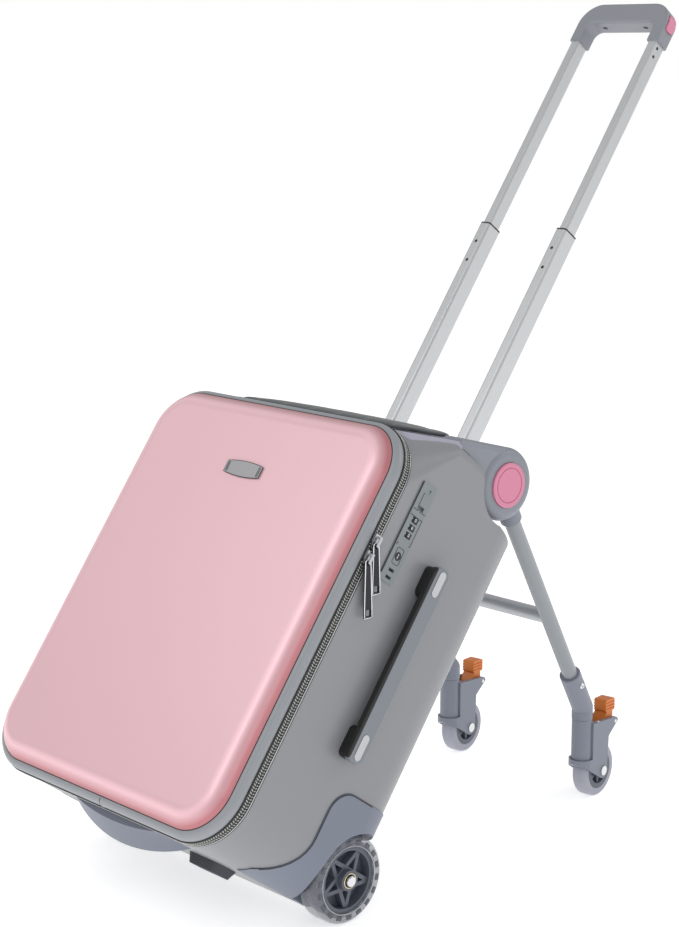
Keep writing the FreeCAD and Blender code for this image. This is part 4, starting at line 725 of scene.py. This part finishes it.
def row_along_path():
    """Tree that sets one shape at an even pitch along a path, turned with the path."""
    tree, entry, add = node_tree("row_along_path", [
        ("Path", "NodeSocketGeometry"), ("Shape", "NodeSocketObject"),
        ("Pitch", "NodeSocketFloat"), ("Facing", "NodeSocketVector"),
        ("Finish", "NodeSocketMaterial")])
    line = add("GeometryNodeMeshToCurve", {}, {"Mesh": entry["Path"]})
    even = add("GeometryNodeResampleCurve", {"mode": "LENGTH"}, {
        "Curve": line.outputs["Curve"], "Length": entry["Pitch"]})
    tangent = add("GeometryNodeInputTangent")
    along = add("FunctionNodeAlignRotationToVector", {"axis": "Z"}, {
        "Vector": tangent.outputs["Tangent"]})
    faced = add("FunctionNodeAlignRotationToVector", {"axis": "X", "pivot_axis": "Z"}, {
        "Rotation": along.outputs["Rotation"], "Vector": entry["Facing"]})
    return set_down(tree, entry, add, even.outputs["Curve"], faced.outputs["Rotation"])


def heads_on_points():
    """Tree that sets one shape on every point, standing on the surface there."""
    tree, entry, add = node_tree("heads_on_points", [
        ("Points", "NodeSocketGeometry"), ("Shape", "NodeSocketObject"),
        ("Finish", "NodeSocketMaterial")])
    facing = add("GeometryNodeInputNamedAttribute", {"data_type": "FLOAT_VECTOR"}, {
        "Name": "facing"})
    stood = add("FunctionNodeAlignRotationToVector", {"axis": "Z"}, {
        "Vector": facing.outputs["Attribute"]})
    return set_down(tree, entry, add, entry["Points"], stood.outputs["Rotation"])


def repeated(base, tree, shape, values):
    """The plain mesh that a tree makes on a base mesh, with its inputs set by identifier."""
    stamp = bpy.data.objects.new("stamp", shape)
    maker = bpy.data.objects.new("maker", base)
    for item in (stamp, maker):
        bpy.context.scene.collection.objects.link(item)
    modifier = maker.modifiers.new("repeat", "NODES")
    modifier.node_group = tree
    inputs = {item.name: item.identifier for item in tree.interface.items_tree
              if item.in_out == "INPUT"}
    for label, value in {"Shape": stamp, **values}.items():
        modifier[inputs[label]] = value
    mesh = meshed(maker)
    bpy.data.objects.remove(stamp)
    return mesh


def row(places, shape, pitch, facing, look):
    """The plain mesh of a shape set at an even pitch round a closed line of places."""
    base = bpy.data.meshes.new("path")
    last = len(places) - 1
    base.from_pydata(places, [(i, i + 1) for i in range(last)] + [(last, 0)], [])
    return repeated(base, row_along_path(), shape, {
        "Pitch": pitch, "Facing": facing, "Finish": finish_of(look)})


def heads(name, spots, shape, body, slot):
    """Screw heads, collars or the like on places with their facings, all on one body."""
    base = bpy.data.meshes.new("spots")
    base.from_pydata([place for place, _ in spots], [], [])
    facing = base.attributes.new("facing", "FLOAT_VECTOR", "POINT")
    for entry, (_, way) in zip(facing.data, spots):
        entry.vector = way
    mesh = repeated(base, heads_on_points(), shape, {"Finish": finish_of(slot)})
    return add_piece(name, mesh, body, slot, smooth=False)


class SUITCASE_OT_finishes(bpy.types.Operator):
    """Give every CAD node the finish of its material slot or one of its own"""

    bl_idname = "suitcase.finishes"
    bl_label = "Finishes"

    def execute(self, context):
        own = {"pivot_housing": "housing", "handle_grip": "grip_grey",
               "side_handle_bar": "bar_grey", "zipper_tape_lid": "tape",
               "zipper_tape_body": "tape", "lock_cylinder": "black", "bottom_grip": "guard"}
        for side in sides:
            own["wheel_housing_" + side] = "guard"
            own["wheel_bearing_" + side] = "gunmetal"
            own["caster_tyre_" + side] = "tread_grey"
        for end in ("upper", "lower"):
            own["zipper_slider_" + end] = "silver"
            own["zipper_pull_" + end] = "gunmetal"
        for part in frame["record"]["subparts"]:
            mesh = nodes[part["node"]].data
            mesh.materials.clear()
            mesh.materials.append(finish_of(own.get(part["node"], part["material_slot"])))
        return {"FINISHED"}


class SUITCASE_OT_zipper(bpy.types.Operator):
    """Lay the two rows of zipper teeth, the edges beside them and the bright edges of the pulls"""

    bl_idname = "suitcase.zipper"
    bl_label = "Zipper"

    def execute(self, context):
        sizes = context.scene.suitcase_zipper
        low, high = case_box("lid_frame")

        def ring(depth, grow=0.0):
            out = sizes.proud / mm + grow
            return upright_ring(
                high.x + out, low.z - out, high.z + out, sizes.corner / mm + out, depth)

        rows = (("zipper_teeth_lid", "lid", sizes.lid_front, sizes.lid_back, 1),
                ("zipper_teeth_body", "case", sizes.body_front, sizes.body_back, -1))
        tip_share, tooth_sides = 0.7, 6
        radius, across = sizes.tooth_width / 2, Matrix.Rotation(math.radians(90), 4, "Y")
        for name, body, front, back, lean in rows:
            tooth = narrowed(
                (back - front) / 2, sizes.tooth_end, radius, tip_share * radius, tooth_sides)
            tooth.transform(Matrix.Rotation(lean * sizes.slant, 4, "Y") @ across)
            middle = (front + back) / 2 / mm
            mesh = row(ring(middle), tooth, sizes.pitch, case_back, "zipper")
            add_piece(name, mesh, body, "zipper")
        # Each edge's name and body, its depth, radius and growth in millimetres, and its slot.
        edges = (("zipper_edge_lid", "lid", 10.6, 0.85, -0.2, "black"),
                 ("zipper_edge_body", "case", 18.9, 0.7, -0.1, "black"),
                 ("zipper_lip_body", "case", 20.2, 0.95, -0.35, "silver"),
                 ("zipper_gap_body", "case", 21.6, 0.65, -0.5, "black"))
        for name, body, depth, thick, grow, slot in edges:
            add_piece(name, bead(ring(depth, grow), thick * mm), body, slot)
        for name in ("zipper_pull_upper", "zipper_pull_lower"):
            edge = border(name, Matrix(), 1, 2)
            face = max(place.x for place in edge) - sizes.pull_sink
            places = [Vector((face, place.y, place.z)) for place in edge]
            add_piece(name + "_edge", bead(places, sizes.pull_edge), name, "chrome")
        return {"FINISHED"}


class SUITCASE_OT_lid_trim(bpy.types.Operator):
    """Add the dark joint round the pink panel, the badge's rim and bars, and the frame's seam"""

    bl_idname = "suitcase.lid_trim"
    bl_label = "Lid trim"

    def execute(self, context):
        sizes = millimetres(context.scene.suitcase_lid)
        low, high = case_box("lid_panel")
        joint = upright_ring(
            (high.x - low.x) / 2, low.z, high.z, sizes.joint_corner, sizes.joint_depth)
        add_piece("lid_panel_joint", bead(joint, sizes.joint_radius * mm), "lid", "black")
        self.badge(sizes)
        self.seam(sizes)
        return {"FINISHED"}

    def badge(self, sizes):
        """Two bars at each end of the blank badge, and the rim round it."""
        low, high = case_box("badge_plate")
        level = (low.z + high.z) / 2
        wide, tall = sizes.bar_width / 2, sizes.bar_height / 2
        bars = []
        for x in (-sizes.bar_outer, -sizes.bar_inner, sizes.bar_inner, sizes.bar_outer):
            place, _ = touch("badge_plate", at(x, ahead, level), case_back)
            front = (case.inverted() @ place).y / mm
            bars.append(((x - wide, front - sizes.bar_proud, level - tall),
                         (x + wide, front + sizes.bar_sink, level + tall)))
        add_piece("badge_bars", slabs(bars), "lid", "black", smooth=False)
        depth = (low.y + sizes.rim_sink) * mm
        rim = [case @ Vector((place.x, depth, place.z))
               for place in border("badge_plate", case, 0, 2)]
        add_piece("badge_rim", bead(rim, sizes.rim_radius * mm), "lid", "black")

    def seam(self, sizes):
        """A dark and a bright line side by side, down the front of the frame and under it."""
        levels, depths = (-2.0, -4.0, -6.0), (2.5, 4.0, 6.0, 8.0, 10.0)
        lines = (("frame_seam", sizes.seam, "black"),
                 ("frame_seam_edge", sizes.seam + 2 * sizes.seam_radius, "silver"))
        for name, x, slot in lines:
            seam = [touch("lid_frame", at(x, ahead, z), case_back)[0] for z in levels]
            seam += [touch("lid_frame", at(x, y, below), case_up)[0] for y in depths]
            add_piece(name, bead(seam, sizes.seam_radius * mm, closed=False), "lid", slot)


class SUITCASE_OT_lock(bpy.types.Operator):
    """Mark the lock's face and number its dials"""

    bl_idname = "suitcase.lock"
    bl_label = "Lock"

    def execute(self, context):
        sizes = millimetres(context.scene.suitcase_lock)
        low, high = case_box("lock_housing")
        self.marks(sizes, low, high)
        self.key(sizes, high.x)
        for index in (1, 2, 3):
            self.numbered(index, sizes)
        return {"FINISHED"}

    def marks(self, sizes, low, high):
        """Dark lines on the face, each from and to across it, then from and to below its top."""
        line, front, middle = sizes.line, low.y, (low.y + high.y) / 2
        near, far = front + sizes.front_margin, high.y - sizes.back_margin
        button, split, dials, dials_end, key = 5.0, 28.4, 35.0, 64.0, 66.0
        drawn = (
            (front - 0.2, front + sizes.front_line, 1.0, 100.0),
            (middle + 1.5, middle + 4.5, button, button + line),
            (middle + 2.6, middle + 2.6 + line, button, button + 3.5),
            (near, middle - 1.0, split, split + line),
            (middle + 1.0, far, split, split + line),
            (near, far, dials, dials + line),
            (far - line, far, dials, dials_end),
            (far - 2.0, far, dials_end - line, dials_end),
            (near, near + line, key, key + 3.0),
            (near, near + 2.5, key, key + line),
        )
        bars = [((high.x - sizes.mark_sink, start, high.z - lower),
                 (high.x + sizes.mark_proud, end, high.z - upper))
                for start, end, upper, lower in drawn]
        add_piece("lock_marks", slabs(bars, edge=0.05), "case", "black", smooth=False)

    def key(self, sizes, face):
        """The line round the key plate, and the slit in the key cylinder."""
        low, high = case_box("lock_cylinder")
        middle = (low + high) / 2
        tall, lift, slit_share = sizes.plate_height / 2, 0.02, 0.62
        ring = [at(face + lift, middle.y + y, middle.z + z) for y, z in rounded_outline(
            sizes.plate_width / 2, -tall, tall, sizes.plate_corner, steps=5)]
        add_piece("lock_key_plate", bead(ring, sizes.plate_line * mm), "case", "black")
        wide, reach = sizes.slit_width / 2, slit_share * (high.z - low.z) / 2
        slit = slabs([((high.x - sizes.slit_sink, middle.y - wide, middle.z - reach),
                       (high.x + sizes.mark_proud, middle.y + wide, middle.z + reach))], edge=0.04)
        add_piece("lock_key_slit", slit, "lock_cylinder", "silver", smooth=False)

    def numbered(self, index, sizes):
        """White numbers all round one dial."""
        node = f"lock_dial_{index}"
        joint = joints[node + "_turn"]
        axis, middle = Vector(joint["axis"]).normalized(), Vector(joint["pos_m"])
        spread = [vertex.co - middle for vertex in nodes[node].data.vertices]
        heights = [offset.dot(axis) for offset in spread]
        level = (min(heights) + max(heights)) / 2
        radius = max((offset - axis * offset.dot(axis)).length for offset in spread)
        outward = (right - axis * right.dot(axis)).normalized()
        joined, tenth = bmesh.new(), math.radians(36)
        for digit in range(10):
            text = bpy.data.curves.new("digit", "FONT")
            text.body, text.align_x, text.align_y = str(digit), "CENTER", "CENTER"
            text.size, text.extrude = sizes.digit * mm, sizes.digit_depth * mm
            mesh = meshed(text)
            facing = Matrix.Rotation(tenth * digit, 3, axis) @ outward
            turn = Matrix((axis.cross(facing), axis, facing)).transposed().to_4x4()
            mesh.transform(Matrix.Translation(middle + axis * level + facing * radius) @ turn)
            joined.from_mesh(mesh)
            bpy.data.meshes.remove(mesh)
        add_piece(f"lock_numbers_{index}", settled(joined, "numbers"), joint["child"], "silver",
                  smooth=False, look="digit_white")


class SUITCASE_OT_fasteners(bpy.types.Operator):
    """Set the rivets, screws and studs"""

    bl_idname = "suitcase.fasteners"
    bl_label = "Fasteners"

    def execute(self, context):
        sizes = millimetres(context.scene.suitcase_fasteners)
        low, high = case_box("trolley_mid_tubes")
        tube_x, tube_y = high.x - sizes.rivet_inset, (low.y + high.y) / 2
        grip_low = case_box("handle_grip")[0].z
        screw_start, screw_end = Vector((160, 440, 330)), Vector((108, 477, 361))
        middle, inner, screws = [], [], []
        for side in sides.values():
            for drop in (sizes.upper_drop, sizes.lower_drop):
                start = at(side * tube_x, 0, high.z - drop)
                middle.append(touch("trolley_mid_tubes", start, case_back))
            for drop in (sizes.upper_grip_drop, sizes.lower_grip_drop):
                start = at(side * beside, tube_y - sizes.rivet_lead, grip_low - drop)
                inner.append(touch("trolley_inner_tubes", start, -side * right))
            start, end = [at(side * x, y, z) for x, y, z in (screw_start, screw_end)]
            screws.append(touch("caster_sockets", start, end - start))
        rivet, screw = sizes.rivet_radius * mm, sizes.screw_radius * mm
        heads("tube_rivets_middle", middle, flush_head(rivet), "trolley_mid", "black")
        heads("tube_rivets_inner", inner, flush_head(rivet), "trolley_inner", "black")
        heads("socket_screws", screws, screw_head(screw), "leg_frame", "chrome")
        fork_turn = Matrix.Rotation(math.radians(8), 3, "Z")
        for name, side in sides.items():
            stem = Vector(joints[f"caster_{name}_swivel"]["pos_m"])
            offset = fork_turn @ Vector((side * sizes.stud_out * mm, sizes.stud_back * mm, 0))
            start = Vector((stem.x + offset.x, stem.y + offset.y, above_casters * mm))
            spot = touch(f"caster_fork_{name}", start, Vector((0, 0, -1)))
            stud = rivet_head(sizes.stud_radius * mm)
            heads(f"fork_stud_{name}", [spot], stud, f"caster_{name}", "chrome")
        return {"FINISHED"}


class SUITCASE_OT_leg_trim(bpy.types.Operator):
    """Carry the caster sockets up the legs with a collar"""

    bl_idname = "suitcase.leg_trim"
    bl_label = "Leg collars"

    def execute(self, context):
        sizes = context.scene.suitcase_fasteners
        spots = []
        for side in sides.values():
            foot, head = self.ends([vertex.co for vertex in nodes["leg_tubes"].data.vertices
                                    if side * (vertex.co.x - case_origin.x) > 0])
            way = (head - foot).normalized()
            spots.append((foot + way * sizes.collar_start, way))
        radius, top, chamfer = sizes.collar_radius, sizes.collar_length, sizes.collar_chamfer
        mouth_share = 0.7
        collar = turned_shape([(radius, 0.0), (radius, top - chamfer), (radius - chamfer, top),
                               (mouth_share * radius, top)], count=28)
        heads("socket_collars", spots, collar, "leg_frame", "blue_grey")
        return {"FINISHED"}

    def ends(self, places):
        """Middles of the two end rings of a straight tube."""
        low, high = min(places, key=lambda place: place.z), max(places, key=lambda place: place.z)
        way = (high - low).normalized()
        along = [place.dot(way) for place in places]
        near = 2 * mm
        rings = []
        for end in (min(along), max(along)):
            ring = [place for place, level in zip(places, along) if abs(level - end) < near]
            rings.append(sum(ring, Vector()) / len(ring))
        return rings


class SUITCASE_OT_wheel_trim(bpy.types.Operator):
    """Draw the dark joint round each wheel housing and the marks on the main wheels"""

    bl_idname = "suitcase.wheel_trim"
    bl_label = "Wheel trim"

    def execute(self, context):
        sizes = context.scene.suitcase_wheels
        # The joint's two arcs and its straight end, in millimetres of the case frame and degrees.
        front_y, front_z, front_radius = 56.0, 52.0, 61.2
        back_y, back_z, back_radius = 142.0, 80.0, 24.8
        front_turns, back_turns, end_depths = range(-56, 1, 8), range(180, 89, -10), (155.0, 170.0)
        line = arc(front_y, front_z, front_radius, front_turns)
        line += arc(back_y, back_z, back_radius, back_turns)
        line += [(y, back_z + back_radius) for y in end_depths]
        for name, side in sides.items():
            places = [touch(f"wheel_housing_{name}", at(side * beside, y, z), -side * right)[0]
                      for y, z in line]
            joint = bead(places, sizes.joint_line, closed=False)
            add_piece(f"wheel_housing_joint_{name}", joint, "case", "black")
            self.wheel(side, name, sizes)
        return {"FINISHED"}

    def wheel(self, side, name, sizes):
        """Dark lugs in the tyre, and bright lines round the core and the axle."""
        body, tyre, bearing = f"main_wheel_{name}", f"wheel_tyre_{name}", f"wheel_bearing_{name}"
        flat_share, lug_sides = 0.16, 8
        lug = narrowed(
            sizes.lug_length / 2, sizes.lug_end, sizes.lug_radius, sizes.lug_tip, lug_sides)
        lug.transform(Matrix.Diagonal((flat_share, 1.0, 1.0, 1.0)))
        pitch = 2 * math.pi * sizes.lug_circle / sizes.lug_count
        places = self.circle(side, name, tyre, sizes.lug_circle)
        lugs = row(places, lug, pitch, side * right, "tyre_lug")
        add_piece(f"tyre_lugs_{name}", lugs, body, "clear_tread", look="tyre_lug")
        core = bead(self.circle(side, name, tyre, sizes.core_circle), sizes.core_line)
        add_piece(f"wheel_core_line_{name}", core, body, "silver")
        ring = bead(self.circle(side, name, bearing, sizes.ring_circle), sizes.ring_line)
        add_piece(f"wheel_bearing_ring_{name}", ring, body, "chrome", look="brass")

    def circle(self, side, name, node, radius, steps=72):
        """Places round a main wheel's axle on the outer face of one of its nodes."""
        middle = Vector(joints[f"main_wheel_{name}_spin"]["pos_m"])
        start = middle + Vector((side * beside * mm, 0.0, radius))
        face = touch(node, start, -side * right)[0].x
        turns = [90 - 360 * step / steps for step in range(steps)]
        return [Vector((face, y, z)) for y, z in arc(middle.y, middle.z, radius, turns)]


class SUITCASE_OT_grip_trim(bpy.types.Operator):
    """Line the two finger holes under the grip's bridge"""

    bl_idname = "suitcase.grip_trim"
    bl_label = "Grip trim"

    def execute(self, context):
        sizes = context.scene.suitcase_fasteners
        low, high = case_box("handle_grip")
        depth, offset = (low.y + high.y) / 2, sizes.hole_offset / mm
        spots = [touch("handle_grip", at(side * offset, depth, low.z), case_up)
                 for side in sides.values()]
        sunk, lip, proud, flat_share = -0.5 * mm, 0.05 * mm, 0.2 * mm, 0.6
        radius, rim = sizes.hole_radius, sizes.hole_rim
        hole = turned_shape([(radius, sunk), (radius, lip), (radius - rim, proud)], count=16)
        hole.transform(Matrix.Diagonal((1.0, flat_share, 1.0, 1.0)))
        heads("grip_holes", spots, hole, "trolley_inner", "black")
        return {"FINISHED"}


class SUITCASE_OT_seat(bpy.types.Operator):
    """Fill the seat cushion and sew its channels"""

    bl_idname = "suitcase.seat"
    bl_label = "Seat cushion"

    def execute(self, context):
        sizes = context.scene.suitcase_seat
        seat = case @ Matrix.Rotation(sizes.slope, 4, "X")
        low, high = case_box("seat_cushion", seat)
        mesh = self.skin(sizes, low, high)
        mesh = self.filled(context, mesh, sizes, low.z * mm)
        smooth = bpy.data.objects.new("seat_smooth", mesh)
        finer = smooth.modifiers.new("finer", "SUBSURF")
        finer.levels = finer.render_levels = 1
        mesh = meshed(smooth)
        self.sewn(mesh, sizes, low, high)
        mesh.transform(seat)
        piece = add_piece("seat_cushion_pad", mesh, "case", "cushion")
        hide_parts("seat_cushion")
        return {"FINISHED"}

    def skin(self, sizes, low, high):
        """An even skin round a block that is a little smaller than the pad."""
        inset, foot_inset, top_inset, top_edge, slack = sizes.inset / mm, 0.2, 4.0, 4.0, 0.01
        start = low + Vector((inset, inset, foot_inset))
        end = high - Vector((inset, inset, top_inset))
        shape = bmesh.new()
        add_box(shape, start, end)
        upright = [edge for edge in shape.edges
                   if abs(edge.verts[0].co.z - edge.verts[1].co.z) > slack]
        bmesh.ops.bevel(shape, geom=upright, offset=sizes.corner / mm, segments=6, affect="EDGES")
        top = [edge for edge in shape.edges if min(v.co.z for v in edge.verts) > end.z - slack]
        bmesh.ops.bevel(shape, geom=top, offset=top_edge, segments=4, affect="EDGES")
        for vert in shape.verts:
            vert.co = vert.co * mm
        block = bpy.data.objects.new("seat_block", settled(shape, "seat_start"))
        even = block.modifiers.new("even_skin", "REMESH")
        even.mode, even.voxel_size = "VOXEL", sizes.voxel
        return meshed(block)

    def filled(self, context, mesh, sizes, base):
        """The skin swollen by its filling, held flat where it rests on the seat base."""
        held_height, last_frame = 1.5 * mm, 20
        before = [vertex.co.copy() for vertex in mesh.vertices]
        pad = bpy.data.objects.new("seat_filled", mesh)
        context.scene.collection.objects.link(pad)
        held = pad.vertex_groups.new(name="held")
        held.add([v.index for v in mesh.vertices if v.co.z < base + held_height], 1.0, "REPLACE")
        cloth = pad.modifiers.new("filling", "CLOTH")
        cloth.settings.quality = 6
        cloth.settings.use_pressure = True
        cloth.settings.uniform_pressure_force = sizes.pressure
        cloth.settings.effector_weights.gravity = 0.0
        cloth.settings.vertex_group_mass = held.name
        for step in range(1, last_frame + 1):
            context.scene.frame_set(step)
        grown = meshed(pad)
        context.scene.frame_set(1)
        for vertex, start in zip(grown.vertices, before):
            moved = vertex.co - start
            if moved.length > sizes.most_swell:
                vertex.co = start + moved.normalized() * sizes.most_swell
            vertex.co.z = max(vertex.co.z, base)
        return grown

    def sewn(self, mesh, sizes, low, high):
        """Press the sewn channels into the top and front of the pad."""
        pitch = (high.x - low.x) / (sizes.channel_count + 1)
        deepening = 1.6
        for vertex in mesh.vertices:
            x = vertex.co.x / mm
            nearest = min(abs(x - (low.x + pitch * (i + 1))) for i in range(sizes.channel_count))
            dip = math.exp(-(nearest * mm / sizes.channel_width) ** 2) * sizes.channel_depth
            up = max(0.0, (vertex.co.z / mm - low.z) / (high.z - low.z))
            vertex.co -= vertex.normal * dip * min(1.0, deepening * up)


class SUITCASE_OT_stage(bpy.types.Operator):
    """Set up the floor, the light and the camera"""

    bl_idname = "suitcase.stage"
    bl_label = "Stage"

    def execute(self, context):
        scene, sizes = context.scene, context.scene.suitcase_stage
        scene.view_settings.view_transform = "Standard"
        self.floor(sizes)
        self.surround(scene, sizes)
        lit_middle, strip_place = Vector((0.0, -0.05, 0.35)), at(-128, -2161, 542)
        # Each light's name, place, width, height and power.
        lights = (("key_light", (-1.6, -1.9, 2.3), 1.8, 1.8, sizes.key),
                  ("fill_light", (2.2, -1.2, 1.2), 1.6, 1.6, sizes.fill),
                  ("rim_light", (1.2, 1.8, 1.8), 1.4, 1.4, sizes.rim),
                  ("strip_light", strip_place, 0.4, 2.0, sizes.strip))
        for name, place, width, height, power in lights:
            lamp = bpy.data.lights.new(name, "AREA")
            lamp.shape, lamp.size, lamp.size_y, lamp.energy = "ELLIPSE", width, height, power
            self.faced(scene, name, lamp, place, lit_middle)
        view = bpy.data.cameras.new("camera")
        view.lens, view.sensor_width, view.clip_start = sizes.lens, 36.0, 0.05
        eye, aim = at(1576.1, -1329.5, -83.0), at(-9.17, 108.94, 424.68)
        scene.camera = self.faced(scene, "camera", view, eye, aim)
        return {"FINISHED"}

    def faced(self, scene, name, data, place, target):
        """A light or a camera at a place, turned to a target."""
        item = bpy.data.objects.new(name, data)
        item.location = place
        item.rotation_euler = (target - item.location).to_track_quat("-Z", "Y").to_euler()
        scene.collection.objects.link(item)
        return item

    def floor(self, sizes):
        """A pale matt floor at the foot of the wheels."""
        reach = sizes.floor_half
        mesh = bpy.data.meshes.new("floor")
        mesh.from_pydata([(-reach, -reach, 0), (reach, -reach, 0), (reach, reach, 0),
                          (-reach, reach, 0)], [], [(0, 1, 2, 3)])
        paper = Finish("pale_floor", {
            "Specular IOR Level": 0.1, "Emission Color": (1.0, 1.0, 1.0, 1.0),
            "Emission Strength": sizes.floor_glow})
        cloud = paper.noise(scale=3.0)
        paper.feed("Base Color", paper.tints(cloud, tuple(sizes.floor), dark=0.985, pale=1.0))
        paper.feed("Roughness", 0.8 + 0.1 * cloud)
        mesh.materials.append(paper.material)
        sheet = bpy.data.objects.new("floor", mesh)
        bpy.context.scene.collection.objects.link(sheet)
        sheet.location.z = cad_box[0].z

    def surround(self, scene, sizes):
        """White all round, seen brighter than it lights."""
        world = bpy.data.worlds.new("white_surround")
        world.use_nodes = True
        scene.world = world
        tree, white = world.node_tree, (1.0, 1.0, 1.0, 1.0)
        lit = tree.nodes["Background"]
        lit.inputs["Color"].default_value = white
        lit.inputs["Strength"].default_value = sizes.sky
        seen = add_node(tree, "ShaderNodeBackground", {}, {"Color": white})
        path = add_node(tree, "ShaderNodeLightPath")
        either = add_node(tree, "ShaderNodeMixShader", {}, {
            0: path.outputs["Is Camera Ray"], 1: lit.outputs[0], 2: seen.outputs[0]})
        tree.links.new(either.outputs[0], tree.nodes["World Output"].inputs["Surface"])


class SUITCASE_PT_panel(bpy.types.Panel):
    """Sizes, colours and steps of the suitcase"""

    bl_idname = "SUITCASE_PT_panel"
    bl_label = "Suitcase"
    bl_space_type = "VIEW_3D"
    bl_region_type = "UI"
    bl_category = "Suitcase"

    def draw(self, context):
        for step in steps:
            self.layout.operator(step.bl_idname)
        for name, group in groups.items():
            values = getattr(context.scene, name)
            for value in group.__annotations__:
                self.layout.prop(values, value)


groups = {
    "suitcase_colours": SuitcaseColours,
    "suitcase_zipper": SuitcaseZipper,
    "suitcase_lid": SuitcaseLid,
    "suitcase_lock": SuitcaseLock,
    "suitcase_fasteners": SuitcaseFasteners,
    "suitcase_wheels": SuitcaseWheels,
    "suitcase_seat": SuitcaseSeat,
    "suitcase_stage": SuitcaseStage,
}
steps = (
    SUITCASE_OT_finishes,
    SUITCASE_OT_zipper,
    SUITCASE_OT_lid_trim,
    SUITCASE_OT_lock,
    SUITCASE_OT_fasteners,
    SUITCASE_OT_leg_trim,
    SUITCASE_OT_wheel_trim,
    SUITCASE_OT_grip_trim,
    SUITCASE_OT_seat,
    SUITCASE_OT_stage,
)


def register():
    for item in (*groups.values(), *steps, SUITCASE_PT_panel):
        bpy.utils.register_class(item)
    for name, group in groups.items():
        setattr(bpy.types.Scene, name, PointerProperty(type=group))


def unregister():
    for name in groups:
        delattr(bpy.types.Scene, name)
    for item in reversed((*groups.values(), *steps, SUITCASE_PT_panel)):
        bpy.utils.unregister_class(item)


def main():
    register()
    for step in steps:
        family, action = step.bl_idname.split(".")
        getattr(getattr(bpy.ops, family), action)()


if __name__ == "__main__":
    main()
